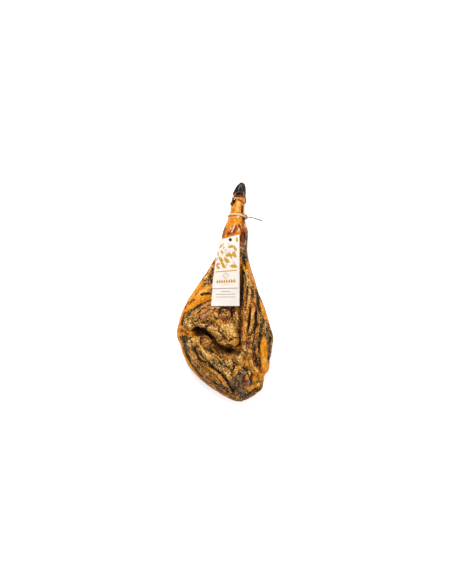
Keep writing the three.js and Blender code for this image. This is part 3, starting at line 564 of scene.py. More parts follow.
def grained(points, size, count, seed):
    """Noise drawn out along the fibres."""
    right, slant = fibre_shares(points)
    turn = np.array([[math.cos(RUMP_TURN), -math.sin(RUMP_TURN)], [math.sin(RUMP_TURN), math.cos(RUMP_TURN)]])
    turned = points.copy()
    turned[:, :2] = points[:, :2] @ turn.T
    drawn = np.array([1, 0.3, 1])
    evenly = octaves(points, size, count, seed)
    straight = octaves(points * drawn, size, count, seed)
    slanting = octaves(turned * drawn, size, count, seed)
    return evenly * (1 - right - slant) + straight * right + slanting * slant


def distance_to(path, plan):
    """Distance of points in plan from a path of straight stretches."""
    nearest = np.full(len(plan), np.inf)
    for start, end in zip(np.array(path, float), np.array(path[1:], float)):
        run = end - start
        share = np.clip(((plan - start) @ run) / (run @ run), 0, 1)
        nearest = np.minimum(nearest, np.linalg.norm(plan - start - share[:, None] * run, axis=1))
    return nearest


def linear(colour):
    """A hex colour as linear red, green and blue."""
    parts = np.array([int(colour[i:i + 2], 16) / 255 for i in (1, 3, 5)])
    return np.where(parts <= 0.04045, parts / 12.92, ((parts + 0.055) / 1.055) ** 2.4)


# Objects and meshes


def new_piece(name, mesh):
    piece = bpy.data.objects.new(name, mesh)
    bpy.context.scene.collection.objects.link(piece)
    return piece


def piece_from(name, points, faces):
    """A smooth-shaded piece from points in millimetres."""
    mesh = bpy.data.meshes.new(name)
    mesh.from_pydata([tuple(p) for p in np.array(points) * MM], [], faces)
    mesh.polygons.foreach_set("use_smooth", [True] * len(mesh.polygons))
    mesh.update()
    return new_piece(name, mesh)


def remeshed(name, node, voxel, rounds):
    """A dense copy of a node of the model, of even cells, smoothed a little."""
    piece = new_piece(name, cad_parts[node].data.copy())
    piece.data.materials.clear()
    cells = piece.modifiers.new("cells", "REMESH")
    cells.mode = "VOXEL"
    cells.voxel_size = voxel * MM
    cells.use_smooth_shade = True
    smooth = piece.modifiers.new("smooth", "SMOOTH")
    smooth.factor = 0.5
    smooth.iterations = rounds
    made = bpy.data.meshes.new_from_object(piece.evaluated_get(bpy.context.evaluated_depsgraph_get()))
    piece.modifiers.clear()
    piece.data = made
    made.name = name
    return piece


def points_of(mesh):
    flat = np.zeros(len(mesh.vertices) * 3, np.float32)
    mesh.vertices.foreach_get("co", flat)
    return flat.reshape(-1, 3).astype(float) / MM


def normals_of(mesh):
    flat = np.zeros(len(mesh.vertices) * 3, np.float32)
    mesh.vertex_normals.foreach_get("vector", flat)
    return flat.reshape(-1, 3).astype(float)


def hollows(mesh, points, normals, rounds):
    """How deep each point lies below what is around it, in millimetres: less than 0 where it stands up."""
    ends = np.zeros(len(mesh.edges) * 2, np.int32)
    mesh.edges.foreach_get("vertices", ends)
    first, second = ends[0::2], ends[1::2]
    count = len(points)
    around = np.bincount(first, minlength=count) + np.bincount(second, minlength=count)
    smoothed = points.copy()
    for _ in range(rounds):
        for axis in range(3):
            total = np.bincount(first, smoothed[second, axis], count)
            total += np.bincount(second, smoothed[first, axis], count)
            smoothed[:, axis] = 0.4 * smoothed[:, axis] + 0.6 * total / around
    return ((smoothed - points) * normals).sum(1)


def move_points(mesh, points):
    mesh.vertices.foreach_set("co", (points * MM).astype(np.float32).ravel())
    mesh.update()


def store_value(mesh, name, values):
    attribute = mesh.attributes.new(name, "FLOAT", "POINT")
    attribute.data.foreach_set("value", values.astype(np.float32))


def store_colour(mesh, name, colours):
    attribute = mesh.attributes.new(name, "FLOAT_COLOR", "POINT")
    with_alpha = np.column_stack([colours, np.ones(len(colours))])
    attribute.data.foreach_set("color", with_alpha.astype(np.float32).ravel())


# Materials


class Graph:
    """A material's nodes, added one by one."""

    def __init__(self, name):
        self.material = bpy.data.materials.new(name)
        self.material.use_nodes = True
        self.tree = self.material.node_tree
        self.shader = self.tree.nodes["Principled BSDF"]

    def join(self, value, socket):
        if isinstance(value, bpy.types.NodeSocket):
            self.tree.links.new(value, socket)
        else:
            socket.default_value = value

    def add(self, kind, inputs=None, **settings):
        node = self.tree.nodes.new(kind)
        for key, value in settings.items():
            setattr(node, key, value)
        for key, value in (inputs or {}).items():
            self.join(value, node.inputs[key])
        return node

    def attribute(self, name, output="Fac"):
        return self.add("ShaderNodeAttribute", attribute_name=name).outputs[output]

    def place(self, stretch=(1, 1, 1), turn=0.0, shift=(0, 0, 0)):
        """Object coordinates, turned about Z, moved and then scaled."""
        source = self.add("ShaderNodeTexCoord").outputs["Object"]
        turning = {"Vector": source, "Rotation": (0, 0, turn), "Location": shift}
        turned = self.add("ShaderNodeMapping", turning)
        return self.add("ShaderNodeMapping", {"Vector": turned.outputs[0], "Scale": stretch}).outputs[0]

    def noise(self, vector, size, detail=4.0, rough=0.6):
        """Noise with bumps about this size in millimetres."""
        inputs = {"Vector": vector, "Scale": 1 / (size * MM), "Detail": detail, "Roughness": rough}
        return self.add("ShaderNodeTexNoise", inputs).outputs["Fac"]

    def maths(self, operation, first, second=0.0):
        node = self.add("ShaderNodeMath", operation=operation)
        for socket, value in zip(node.inputs, (first, second)):
            self.join(value, socket)
        return node.outputs[0]

    def between(self, value, low, high, bottom=0.0, top=1.0):
        """bottom below low, top above high, and smooth in between."""
        inputs = {"Value": value, "From Min": low, "From Max": high, "To Min": bottom, "To Max": top}
        return self.add("ShaderNodeMapRange", inputs, interpolation_type="SMOOTHSTEP").outputs[0]

    def mix(self, share, first, second):
        """A number between two others."""
        node = self.add("ShaderNodeMix", data_type="FLOAT")
        sockets = (node.inputs["Factor"], node.inputs[2], node.inputs[3])
        for value, socket in zip((share, first, second), sockets):
            self.join(value, socket)
        return node.outputs[0]

    def blend(self, share, first, second, how="MIX"):
        node = self.add("ShaderNodeMix", data_type="RGBA", blend_type=how)
        self.join(share, node.inputs["Factor"])
        for value, socket in ((first, node.inputs[6]), (second, node.inputs[7])):
            self.join(value if isinstance(value, bpy.types.NodeSocket) else (*linear(value), 1), socket)
        return node.outputs[2]

    def painted_colour(self, share):
        """Between the two colours that are painted on the mesh."""
        return self.blend(share, self.attribute("tint", "Color"), self.attribute("second", "Color"))

    def bump(self, height, distance):
        return self.add("ShaderNodeBump", {"Height": height, "Distance": distance * MM}).outputs[0]

    def finish(self, **inputs):
        for key, value in inputs.items():
            self.join(value, self.shader.inputs[key.replace("_", " ").title().replace("Ior", "IOR")])
        return self.material


def ham_material():
    """Mottles the painted colours and adds specks, flecks with painted highlight and fine relief, as the paint
    says.
    """
    g = Graph("cured_ham")
    plain = g.place()
    straight = g.place(stretch=(1, 0.3, 1))
    slanting = g.place(stretch=(1, 0.3, 1), turn=RUMP_TURN)
    apart = g.place(shift=(0.31, 0.17, 0.23))
    right, slant = g.attribute("right"), g.attribute("slant")

    def grained(size, detail=4.0):
        """Noise that runs along the fibres of the meat."""
        evenly = g.noise(plain, size, detail)
        folded = g.mix(right, evenly, g.noise(straight, size, detail))
        return g.mix(slant, folded, g.noise(slanting, size, detail))

    patches = grained(8, 3)
    mottled = g.painted_colour(g.between(patches, 0.45, 0.55))
    fine = g.noise(plain, 5, 6, 0.7)
    fresh = g.blend(g.between(fine, 0.3, 0.7, 0.3, 0), mottled, "#140a04", "MULTIPLY")
    # pale flecks that are partly painted highlight, and near-white glints of painted highlight over them
    fleck_highlights = g.noise(g.place(shift=(-0.2, 0.4, 0.1)), 4.4, 2, 0.55)
    fleck_highlight_edge = g.maths("SUBTRACT", 0.75, g.maths("MULTIPLY", g.attribute("fleck_and_highlight"), 0.37))
    flecked_and_highlit = g.blend(g.between(g.maths("SUBTRACT", fleck_highlights, fleck_highlight_edge), -0.02, 0.05), fresh, "#f8b456")
    glint_edge = g.maths("SUBTRACT", 0.85, g.maths("MULTIPLY", g.attribute("fleck_and_highlight"), 0.34))
    glints = g.noise(g.place(shift=(0.13, -0.27, 0.4)), 4.8, 2, 0.5)
    flecked_and_highlit = g.blend(g.between(g.maths("SUBTRACT", glints, glint_edge), -0.02, 0.04), flecked_and_highlit, "#ffe6ae")
    specks = g.noise(apart, 4.4, 2, 0.55)
    speck_edge = g.maths("SUBTRACT", 0.76, g.maths("MULTIPLY", g.attribute("speck"), 0.39))
    speck = g.between(g.maths("SUBTRACT", specks, speck_edge), -0.02, 0.03)
    speckled = g.blend(speck, flecked_and_highlit, "#15110e")
    crusty = g.between(g.attribute("crag"), 0.6, 1.1)
    veins = g.between(g.maths("ABSOLUTE", g.maths("SUBTRACT", grained(16, 3), 0.5)), 0.004, 0.02, 0.85, 0)
    cracks = g.maths("MAXIMUM", g.attribute("crack"), g.maths("MULTIPLY", veins, crusty))
    cracked = g.blend(cracks, speckled, "#1c1814")
    roughness = g.maths("SUBTRACT", g.maths("ADD", 0.66, g.maths("MULTIPLY", fine, 0.2)),
                        g.maths("MULTIPLY", g.attribute("polish"), 0.48))
    knobs = g.maths("ADD", g.noise(g.place(shift=(0.4, 0.1, -0.3)), 4.5, 2, 0.5), patches)
    coarse = g.maths("ADD", knobs, g.maths("MULTIPLY", fine, 0.5))
    pitted = g.maths("SUBTRACT", coarse, g.maths("MULTIPLY", speck, 0.3))
    height = g.maths("MULTIPLY", pitted, g.attribute("crag"))
    grain = g.maths("MULTIPLY", g.noise(plain, 1.4, 3, 0.6), 0.12)
    normal = g.bump(g.maths("ADD", height, grain), 4.5)
    return g.finish(base_color=cracked, roughness=roughness, normal=normal, specular_ior_level=MEAT_SHEEN)


def horn_material():
    g = Graph("horn")
    plain = g.place()
    streaks = g.noise(g.place(stretch=(1, 0.12, 1)), 3.0, 4, 0.6)
    tone = g.painted_colour(g.between(streaks, 0.4, 0.62))
    fine = g.noise(plain, 2.0, 5, 0.65)
    roughness = g.between(fine, 0.3, 0.7, 0.16, 0.36)
    normal = g.bump(g.maths("ADD", streaks, g.maths("MULTIPLY", fine, 0.4)), 0.5)
    return g.finish(base_color=tone, roughness=roughness, normal=normal, specular_ior_level=MEAT_SHEEN)


def twine_material(name, pale, dark, worn):
    g = Graph(name)
    fibres = g.noise(g.place(), 0.8, 4, 0.7)
    patches = g.noise(g.place(), 9, 3, 0.6)
    tone = g.blend(g.between(fibres, 0.35, 0.7), pale, dark)
    used = g.blend(g.between(patches, 0.45, 0.7, 0, 0.6), tone, worn)
    normal = g.bump(fibres, 0.25)
    return g.finish(base_color=used, roughness=0.9, normal=normal, specular_ior_level=DRY_SHEEN)


def card_material():
    g = Graph("card")
    fibres = g.noise(g.place(), 1.2, 5, 0.7)
    clouds = g.noise(g.place(), 30, 3, 0.5)
    tone = g.blend(g.between(clouds, 0.35, 0.7, 0, 0.6), "#ebe1d8", "#e4d8cc")
    roughness = g.between(fibres, 0.3, 0.7, 0.6, 0.75)
    normal = g.bump(fibres, 0.04)
    return g.finish(base_color=tone, roughness=roughness, normal=normal, specular_ior_level=DRY_SHEEN)


def ink_material(name, colour, worn, gloss):
    g = Graph(name)
    grain = g.noise(g.place(), 1.6, 4, 0.65)
    return g.finish(base_color=g.blend(g.between(grain, 0.4, 0.75), colour, worn), roughness=gloss,
                    normal=g.bump(grain, 0.02))


def stud_material():
    g = Graph("stud")
    scuffs = g.noise(g.place(), 1.5, 4, 0.6)
    return g.finish(base_color=g.blend(g.between(scuffs, 0.5, 0.75), "#141313", "#3a3836"),
                    roughness=g.between(scuffs, 0.3, 0.7, 0.25, 0.5), normal=g.bump(scuffs, 0.08))


def floor_material():
    g = Graph("floor")
    grain = g.noise(g.place(), 40, 3, 0.5)
    return g.finish(base_color=g.blend(g.between(grain, 0.3, 0.7), "#fbfbfa", "#f8f8f7"), roughness=0.9,
                    emission_color=(1, 1, 1, 1), emission_strength=0.6)


def dress(piece, material, slot, *nodes):
    piece.data.materials.append(material)
    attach(piece, "root")
    if nodes:
        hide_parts(*nodes)
    return piece


# The leg


def painted(points, upward):
    """What each point of the leg looks like: a table of one row a point, and how far the marks lift it."""
    plan = points[:, :2]
    y = points[:, 1]
    rows = {name: np.array([*linear(first), *linear(second), polish, crag, speck, fleck_and_highlight])
            for name, (first, second, polish, crag, speck, fleck_and_highlight) in FINISHES.items()}
    ragged = octaves(points, 26, 3, 5)
    fine_ragged = grained(points, 11, 2, 11)
    table = np.tile(rows["crust"], (len(points), 1))

    def paint(name, share):
        table[:] += share[:, None] * (rows[name] - table)

    paint("skin", smooth_step(120, 160, y + 14 * ragged))
    lift = np.zeros(len(points))
    for name, half, soft, rough, rise, path in MARKS:
        distance = distance_to(path, plan) + rough * 0.5 * ragged + (0.6 + rough * 0.9) * fine_ragged
        share = (1 - smooth_step(half - soft, half + soft, distance)) * upward
        paint(name, share)
        lift += share * rise
    for name, size, seed, edge in DABS:
        spread = smooth_step(edge, edge + 0.15, grained(points, size, 2, seed))
        paint(name, spread * smooth_step(0.7, 1.0, table[:, CRAG]) * 0.8 * upward)
    return table, lift, paint, ragged, fine_ragged


def paint_underside(points, under, paint, ragged, fine_ragged):
    """Skin and rind that the photograph doesn't show: fat at the rim, then rind with patches of mould."""
    y = points[:, 1]
    z = points[:, 2]
    paint("rind", under)
    paint("deep_fat", under * smooth_step(0.1, 0.7, ragged + 0.2))
    paint("fat", RIM_FAT * under * smooth_step(26, 40, z + 8 * ragged) * (1 - smooth_step(150, 190, y)))
    mould = smooth_step(0.25, 0.7, fine_ragged + 0.6 * octaves(points, 60, 2, 31))
    paint("grey", under * mould * 0.8 * (1 - smooth_step(120, 180, y)))
    paint("skin", under * smooth_step(120, 180, y + 20 * ragged))


def clear_of_card(points, moved):
    """Stops the relief short of the tag: no point goes nearer to the card than its clearance."""
    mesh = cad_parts["tag_back_leaf"].data
    card = BVHTree.FromPolygons([v.co for v in mesh.vertices], [list(p.vertices) for p in mesh.polygons])
    low, high = points_of(mesh).min(0) - NEAR_CARD, points_of(mesh).max(0) + NEAR_CARD
    for index in np.nonzero(np.all((points > low) & (points < high), axis=1))[0]:
        start = Vector(points[index] * MM)
        travel = Vector(moved[index] * MM) - start
        if travel.length > 0:
            hit = card.ray_cast(start, travel.normalized(), travel.length + CARD_CLEARANCE * MM)[3]
            if hit is not None:
                travel *= max(hit - CARD_CLEARANCE * MM, 0) / travel.length
        place = start + travel
        nearest, _normal, _index, distance = card.find_nearest(place, CARD_CLEARANCE * MM)
        if nearest is not None and distance > 0:
            place += (place - nearest) * (CARD_CLEARANCE * MM / distance - 1)
        moved[index] = np.array(place) / MM


def leg_piece():
    piece = remeshed("ham_leg", "leg", VOXEL, SMOOTHING_ROUNDS)
    mesh = piece.data
    points = points_of(mesh)
    normals = normals_of(mesh)
    upward = smooth_step(-0.3, 0.05, normals[:, 2]) + smooth_step(62, 74, points[:, 2])
    upward = np.clip(upward, 0, 1)
    table, lift, paint, ragged, fine_ragged = painted(points, upward)
    paint_underside(points, 1 - upward, paint, ragged, fine_ragged)
    crag = table[:, CRAG]
    lumps = np.abs(grained(points, LUMP_SIZE, 2, 41))
    crack = (1 - smooth_step(0.03, 0.12, lumps)) * smooth_step(0.75, 1.1, crag)
    small = np.abs(grained(points, SMALL_LUMP_SIZE, 2, 57))
    raised = 0.3 + LUMP_HEIGHT * (np.minimum(lumps, 0.5) - 0.3)
    raised += SMALL_LUMP_HEIGHT * (np.minimum(small, 0.5) - 0.25)
    moved = points + normals * (SWELLING + lift + crag * raised)[:, None]
    clear_of_card(points, moved)
    moved[:, 2] = np.maximum(moved[:, 2], 0)
    move_points(mesh, moved)
    bent = normals_of(mesh)
    # painted shade in folds and creases and painted highlight on ridges, with more dark specks and fewer pale
    # flecks in the folds
    folds = hollows(mesh, moved, bent, FOLD_ROUNDS)
    creases = hollows(mesh, moved, bent, CREASE_ROUNDS)
    crusty = 0.35 + 0.65 * smooth_step(0.4, 1.0, crag)
    deep = np.clip(smooth_step(0.3, 3.0, folds) * 0.7 + smooth_step(0.15, 0.9, creases) * 0.6, 0, 1) * crusty
    high = np.clip(smooth_step(0.3, 2.5, -folds) * 0.6 + smooth_step(0.1, 0.6, -creases) * 0.5, 0, 1) * crusty
    table[:, COLOURS] *= (1 - FOLD_PAINTED_SHADE * deep + RIDGE_PAINTED_HIGHLIGHT * high)[:, None]
    # painted shade where the crust turns down at the rim
    table[:, COLOURS] *= (1 - RIM_SHADE * (1 - smooth_step(0.05, 0.6, bent[:, 2])) * crusty)[:, None]
    table[:, SPECK] += 0.25 * deep - 0.1 * high
    table[:, FLECK_AND_HIGHLIGHT] += 0.2 * high - 0.25 * deep
    store_colour(mesh, "tint", table[:, 0:3])
    store_colour(mesh, "second", table[:, 3:6])
    for column, name in enumerate(("polish", "crag", "speck", "fleck_and_highlight"), POLISH):
        store_value(mesh, name, table[:, column])
    right, slant = fibre_shares(points)
    store_value(mesh, "right", right)
    store_value(mesh, "slant", slant)
    store_value(mesh, "crack", crack * CRACK_STRENGTH)
    return dress(piece, ham_material(), "meat", "leg")


# Hoof


def claw_piece(name, node, material):
    """Horn with growth rings across it and ridges along it, brown where it comes out of the skin."""
    piece = remeshed(name, node, HORN_VOXEL, HORN_ROUNDS)
    mesh = piece.data
    points = points_of(mesh)
    normals = normals_of(mesh)
    low, high = points.min(0), points.max(0)
    rise = (points[:, 1] - low[1]) / (high[1] - low[1])
    rings = np.sin(points[:, 1] * 1.5 + 2.2 * wander(points, 14, 3)) * (1 - rise)
    ridges = wander(points * np.array([1, 0.1, 1]), 4.5, 7)
    root = 1 - smooth_step(0.15, 0.5, rise + 0.12 * wander(points, 6, 9))
    move_points(mesh, points + normals * (0.14 * rings + 0.35 * ridges)[:, None])
    tint = linear("#0e0906") + root[:, None] * (linear("#22140a") - linear("#0e0906"))
    second = linear("#140d09") + root[:, None] * (linear("#7c4e1e") - linear("#140d09"))
    # marks from the table, some of them painted highlights
    for colour, half, soft, path in HORN_MARKS:
        distance = distance_to(path, points[:, :2]) + 0.8 * wander(points, 3, 13)
        share = 1 - smooth_step(half - soft, half + soft, distance)
        share = share[:, None] * smooth_step(-0.1, 0.3, normals[:, 2])[:, None]
        tint += share * (linear(colour) - tint)
        second += share * (linear(colour) * 1.2 - second)
    store_colour(mesh, "tint", tint)
    store_colour(mesh, "second", second)
    return dress(piece, material, "horn", node)


# Cord


def strand_tube(name, line, radius, closed=False, around=18):
    """A twisted cord along a line of points: a tube whose section has a lobe for each strand."""
    line = np.array(line, float)
    ahead = np.roll(line, -1, 0) - np.roll(line, 1, 0)
    if not closed:
        ahead[0] = line[1] - line[0]
        ahead[-1] = line[-1] - line[-2]
    ahead /= np.linalg.norm(ahead, axis=1)[:, None]
    steps = np.linalg.norm(np.diff(line, axis=0), axis=1)
    run = np.concatenate([[0], np.cumsum(steps)])
    whole = run[-1] + (np.linalg.norm(line[0] - line[-1]) if closed else 0)
    pitch = whole / max(round(whole / STRAND_PITCH), 1)
    side = np.cross(ahead[0], (0, 0, 1.0))
    if np.linalg.norm(side) < 0.1:
        side = np.cross(ahead[0], (0, 1.0, 0))
    points = []
    for index, centre in enumerate(line):
        side = side - ahead[index] * (side @ ahead[index])
        side /= np.linalg.norm(side)
        up = np.cross(ahead[index], side)
        for step in range(around):
            angle = 2 * math.pi * step / around
            wound = 2 * math.pi * run[index] / pitch
            lobe = 1 - STRAND_DEPTH + STRAND_DEPTH * math.cos(STRANDS * (angle - wound))
            points.append(centre + radius * lobe * (side * math.cos(angle) + up * math.sin(angle)))
    rows = len(line)
    faces = []
    for row in range(rows if closed else rows - 1):
        following = (row + 1) % rows
        for step in range(around):
            beside = (step + 1) % around
            faces.append((row * around + step, row * around + beside,
                          following * around + beside, following * around + step))
    if not closed:
        faces.append(tuple(reversed(range(around))))
        faces.append(tuple((rows - 1) * around + step for step in range(around)))
    return piece_from(name, points, faces)


def even_line(points, spacing, closed=False):
    """Points at even spacing along a smooth curve through the given ones."""
    given = [np.array(p, float) for p in points]
    count = len(given)
    dense = []
    for i in range(count if closed else count - 1):
        before = given[(i - 1) % count] if closed or i else 2 * given[0] - given[1]
        after = given[(i + 2) % count] if closed or i + 2 < count else 2 * given[-1] - given[-2]
        start, end = given[i], given[(i + 1) % count]
        for share in np.linspace(0, 1, 12, endpoint=False):
            dense.append(0.5 * (2 * start + (end - before) * share
                                + (2 * before - 5 * start + 4 * end - after) * share**2
                                + (3 * start - before - 3 * end + after) * share**3))
    dense.append(given[0] if closed else given[-1])
    dense = np.array(dense)
    run = np.concatenate([[0], np.cumsum(np.linalg.norm(np.diff(dense, axis=0), axis=1))])
    number = max(round(run[-1] / spacing), 4)
    wanted = np.linspace(0, run[-1], number + 1)[:number + (0 if closed else 1)]
    return np.column_stack([np.interp(wanted, run, dense[:, i]) for i in range(3)])


def loop_line(leg):
    """Middle line of the cord round the ankle, found by looking in at the skin from all round."""
    tree = BVHTree.FromObject(leg, bpy.context.evaluated_depsgraph_get())
    middle_x, middle_z = LOOP_MIDDLE
    line = []
    for step in range(LOOP_STEPS):
        angle = 2 * math.pi * step / LOOP_STEPS
        y = LOOP_Y + LOOP_SLOPE * math.cos(angle) + LOOP_TILT * math.sin(angle)
        out = Vector((-math.cos(angle), 0, math.sin(angle)))
        centre = Vector((middle_x, y, middle_z))
        hit = tree.ray_cast((centre + out * 90) * MM, -out)[0] / MM
        line.append(hit + out * (LOOP_RADIUS * 0.8))
    return even_line(line, CORD_SPACING, closed=True)


def knot_line():
    """The knot's strand: a trefoil wound round the axis that the loose end leaves along."""
    x, y, z = KNOT_AT
    line = []
    for step in range(KNOT_STEPS):
        turn = 4 * math.pi * step / KNOT_STEPS
        reach = KNOT_RADIUS * (2 + math.cos(1.5 * turn)) * 0.5
        depth = KNOT_RADIUS * math.sin(1.5 * turn) * 0.5
        line.append((x + depth, y + reach * math.sin(turn), z - reach * math.cos(turn)))
    return even_line(line, KNOT_SPACING, closed=True)


def cord_pieces(leg):
    clean = twine_material("clean_twine", "#f6ead0", "#c0a478", "#d8bc90")
    # the knot's twine is tanner and darker than the loop's
    knot_tone = twine_material("knot_twine", "#caa888", "#987656", "#a88664")
    loose = twine_material("loose_twine", "#bc9a78", "#86664a", "#9a7a58")
    loop = strand_tube("ankle_twine", loop_line(leg), LOOP_RADIUS, closed=True)
    dress(loop, clean, "cord", "ankle_cord")
    knot = strand_tube("twine_knot", knot_line(), KNOT_TUBE, closed=True, around=14)
    dress(knot, knot_tone, "cord")
    route = even_line(CORD_END, CORD_SPACING)
    end = strand_tube("twine_end", route, CORD_RADIUS)
    dress(end, loose, "cord", "cord_end")


# Tag


def smooth_profile(points):
    """The cubic curve that the model puts through [share, height] points."""
    at = [p[0] for p in points]
    value = [p[1] for p in points]

    def height(share):
        index = min(max(int(np.searchsorted(at, share, side="right")), 1), len(at) - 1)
        start, end = at[index - 1], at[index]
        before = index - 2 if index >= 2 else index
        after = index + 1 if index + 1 < len(at) else index - 1
        before_at = at[index - 2] if index >= 2 else end
        after_at = at[index + 1] if index + 1 < len(at) else start
        lead = (end - start) / 2 / (start - before_at)
        tail = (end - start) / 2 / (after_at - end)
        p = (share - start) / (end - start)
        return (value[before] * (-lead * p**3 + 2 * lead * p**2 - lead * p)
                + value[index - 1] * ((1 + lead) * p**3 + (-1.5 - 2 * lead) * p**2 + (lead - 0.5) * p + 1)
                + value[index] * ((-1 - tail) * p**3 + (1.5 + tail) * p**2 + 0.5 * p)
                + value[after] * (tail * p**3 - tail * p**2))

    return height


tag_edge = smooth_profile(TAG_EDGE)


def tag_point(along, down, lift):
    """A point of the tag: along is the distance from its right edge, down runs from 0 at the top to 1."""
    bend = TAG_BEND * max(1 - down, 0) ** TAG_FLATTENING + TAG_LAST_BEND
    radius = TAG_WIDTH / bend
    angle = along / radius
    slant = TAG_SLANT * max(1 - down, 0) ** TAG_SLANT_EASING * math.sin(angle) / math.sin(bend)
    return (
        TAG_RIGHT_X - radius * math.sin(angle) - lift * math.sin(angle),
        TAG_TOP_Y + (TAG_BOTTOM_Y - TAG_TOP_Y) * down - slant,
        tag_edge(down) - radius * (1 - math.cos(angle)) + lift * math.cos(angle),
    )


def slab(top_grid, thickness):
    """A thin closed body between a grid of (along, down, lift) places and the same grid sunk."""
    rows, columns = len(top_grid), len(top_grid[0])
    points = [tag_point(*place) for row in top_grid for place in row]
    points += [tag_point(a, d, lift - thickness) for row in top_grid for (a, d, lift) in row]
    under = rows * columns
    faces = []
    for r in range(rows - 1):
        for c in range(columns - 1):
            corner = r * columns + c
            ring = (corner, corner + columns, corner + columns + 1, corner + 1)
            faces.append(ring)
            faces.append(tuple(under + v for v in reversed(ring)))
    border = [(0, c) for c in range(columns)]
    border += [(r, columns - 1) for r in range(1, rows)]
    border += [(rows - 1, c) for c in range(columns - 2, -1, -1)]
    border += [(r, 0) for r in range(rows - 2, 0, -1)]
    for (r, c), (s, d) in zip(border, border[1:] + border[:1]):
        first, second = r * columns + c, s * columns + d
        faces.append((first, second, under + second, under + first))
    return points, faces


def back_lift(_down):
    return 0


def front_lift(down):
    """How far the middle of the front leaf lies over the back one: it curls up at its lower edge."""
    return LEAF_SPACING + FRONT_LEAF_CURL * (down / FRONT_LEAF_SHARE) ** CURL_POWER


def tag_leaf(name, node, start, width, length, lift, material):
    downs = [length * row / LEAF_ROWS for row in range(LEAF_ROWS + 1)]
    alongs = [start + width * column / LEAF_COLUMNS for column in range(LEAF_COLUMNS + 1)]
    grid = [[(along, down, lift(down) + CARD / 2) for along in alongs] for down in downs]
    points, faces = slab(grid, CARD)
    piece = piece_from(name, points, faces)
    flat_edges(piece)
    return dress(piece, material, "card", node)


def flat_edges(piece):
    """Keeps a slab's edges sharp."""
    mesh = piece.data
    mesh.set_sharp_from_angle(angle=math.radians(40))


def print_on(name, shapes, material, lift, step):
    """Thin ink on the tag: each shape is a list of rows, and a row is a list of (along, height)."""
    points, faces = [], []
    for shape in shapes:
        downs = [[tag_share(y) for _, y in row] for row in shape]
        grid = [[(along, down, lift(down) + CARD / 2 + step) for (along, _), down in zip(row, row_downs)]
                for row, row_downs in zip(shape, downs)]
        more_points, more_faces = slab(grid, INK)
        faces += [tuple(v + len(points) for v in face) for face in more_faces]
        points += more_points
    piece = piece_from(name, points, faces)
    flat_edges(piece)
    return dress(piece, material, "card")


def tag_share(y):
    """How far down the tag a height of its straight right edge is."""
    return (TAG_TOP_Y - y) / (TAG_TOP_Y - TAG_BOTTOM_Y)


def leaf_shape(along, y, length, width, heading, curl=0.0):
    """A pointed leaf: rows across it from its stalk to its tip."""
    rows = []
    for step in range(LEAF_STEPS + 1):
        share = step / LEAF_STEPS
        reach = width * (math.sin(math.pi * share**0.8) * 0.5 + 0.02)
        turn = heading + curl * share
        middle = (along + length * share * math.cos(turn), y + length * share * math.sin(turn))
        rows.append([(middle[0] - side * reach * math.sin(turn), middle[1] + side * reach * math.cos(turn))
                     for side in (-1, -0.33, 0.33, 1)])
    return rows


def line_shape(places, width):
    """A thin line through places on the tag."""
    rows = []
    for index, (along, y) in enumerate(places):
        before, after = places[max(index - 1, 0)], places[min(index + 1, len(places) - 1)]
        heading = math.atan2(after[1] - before[1], after[0] - before[0])
        rows.append([(along - side * width / 2 * math.sin(heading), y + side * width / 2 * math.cos(heading))
                     for side in (-1, 1)])
    return rows


def stem(along, y, length, heading, curl):
    """Places along a curved stem, each with the way it is heading there."""
    places = []
    for step in range(STEM_STEPS + 1):
        places.append((along, y, heading))
        along += length / STEM_STEPS * math.cos(heading)
        y += length / STEM_STEPS * math.sin(heading)
        heading += curl / STEM_STEPS
    return places


def sprig(along, y, length, heading, curl, leaf):
    """A stem with leaves on both sides and one at its end."""
    places = stem(along, y, length, heading, curl)
    leaves = [leaf_shape(*places[-1][:2], leaf, leaf * LEAF_PLUMPNESS, places[-1][2])]
    for index in range(3, STEM_STEPS, 3):
        for side in (-1, 1):
            at = places[index]
            leaves.append(leaf_shape(at[0], at[1], leaf * 0.9, leaf * 0.36, at[2] + side * 0.9, -side * 0.4))
    return line_shape([p[:2] for p in places], 0.9), leaves


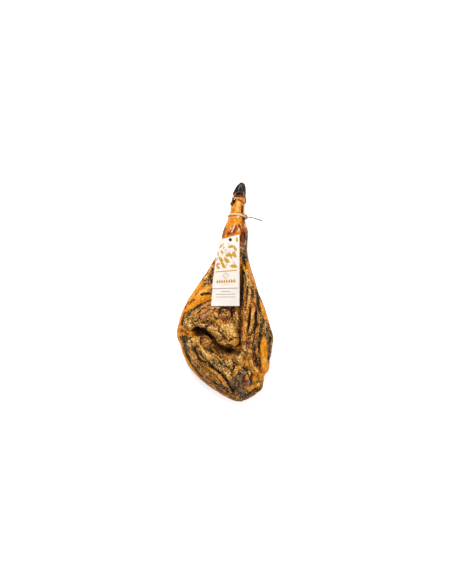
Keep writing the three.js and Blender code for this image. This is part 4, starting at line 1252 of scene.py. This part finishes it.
def tag_pieces():
    card = card_material()
    tag_leaf("tag_back", "tag_back_leaf", 0, TAG_WIDTH, 1, back_lift, card)
    start = TAG_WIDTH - FRONT_LEAF_WIDTH
    tag_leaf("tag_front", "tag_front_leaf", start, FRONT_LEAF_WIDTH, FRONT_LEAF_SHARE, front_lift, card)
    gold = ink_material("gold_ink", "#c49202", "#b28000", 0.6)
    pale = ink_material("pale_ink", "#b89a74", "#a58660", 0.6)
    brown = ink_material("brown_ink", "#8c6450", "#a07c68", 0.6)
    stems = []
    leaves = [leaf_shape(along, y, length, length * LEAF_PLUMPNESS, heading, 0.5)
              for along, y, length, heading in LEAVES]
    for place in SPRIGS:
        line, more = sprig(*place)
        stems += [line, *more]
    print_on("tag_leaves", leaves, gold, front_lift, INK)
    rules = [line_shape([(a, RULE_Y) for a in np.linspace(9, 94, 30)], 3.6)]
    rules += [leaf_shape(along, LOZENGES_Y, 14, 7, math.pi / 2) for along in np.linspace(18, 80, 8)]
    print_on("tag_rules", rules, gold, front_lift, INK)
    for reach in (13, 8):
        corners = [(reach, 0), (0, reach), (-reach, 0), (0, -reach), (reach, 0)]
        ring = []
        for (a, b), (c, d) in zip(corners, corners[1:]):
            ring += [(DIAMOND[0] + a + (c - a) * share, DIAMOND[1] + b + (d - b) * share)
                     for share in (0, 0.25, 0.5, 0.75)]
        stems += [line_shape(ring[k:k + 5] if k < 12 else ring[12:] + ring[:1], 1.1) for k in (0, 4, 8, 12)]
    stems.append(line_shape([(a, LOZENGES_Y - 5) for a in np.linspace(39, 59, 8)], 1.0))
    print_on("tag_stems", stems, pale, front_lift, INK * 0.7)
    lines = [line_shape([(a, y) for a in np.linspace(middle - half, middle + half, 16)], 1.8)
             for middle, half, y in BACK_LINES]
    print_on("tag_lines", lines, brown, back_lift, INK)


# Light, floor and camera


def add_light(name, at, towards, size, power):
    data = bpy.data.lights.new(name, "AREA")
    data.shape = "DISK"
    data.size = size
    data.energy = power
    light = bpy.data.objects.new(name, data)
    light.location = at
    light.rotation_euler = (Vector(towards) - Vector(at)).to_track_quat("-Z", "Y").to_euler()
    bpy.context.scene.collection.objects.link(light)


def stage():
    half = FLOOR_HALF
    corners = [(-half, -half, 0), (half, -half, 0), (half, half, 0), (-half, half, 0)]
    floor = piece_from("floor", corners, [(0, 1, 2, 3)])
    floor.data.materials.append(floor_material())
    for light in LIGHTS:
        add_light(*light)
    world = bpy.data.worlds.new("studio")
    world.use_nodes = True
    background = world.node_tree.nodes["Background"]
    background.inputs["Color"].default_value = (1, 1, 1, 1)
    background.inputs["Strength"].default_value = WORLD_STRENGTH
    bpy.context.scene.world = world


def camera():
    data = bpy.data.cameras.new("camera")
    data.sensor_fit = "VERTICAL"
    data.sensor_height = SENSOR
    data.lens = SENSOR * (CAMERA_Z - OUTLINE_Z) / (PHOTO_HEIGHT * MM_PER_PIXEL)
    data.clip_end = 100
    eye = bpy.data.objects.new("camera", data)
    eye.location = (PHOTO_MIDDLE[0] * MM, PHOTO_MIDDLE[1] * MM, CAMERA_Z * MM)
    bpy.context.scene.collection.objects.link(eye)
    bpy.context.scene.camera = eye


camera()
stage()
ham_leg = leg_piece()
cord_pieces(ham_leg)
horn = horn_material()
for claw in ("hoof_claw_left", "hoof_claw_right", "dewclaw_left", "dewclaw_right"):
    claw_piece(claw.replace("claw", "horn"), claw, horn)
tag_pieces()
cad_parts["tag_stud"].data.materials.clear()
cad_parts["tag_stud"].data.materials.append(stud_material())

bpy.context.scene.view_settings.view_transform = "Standard"
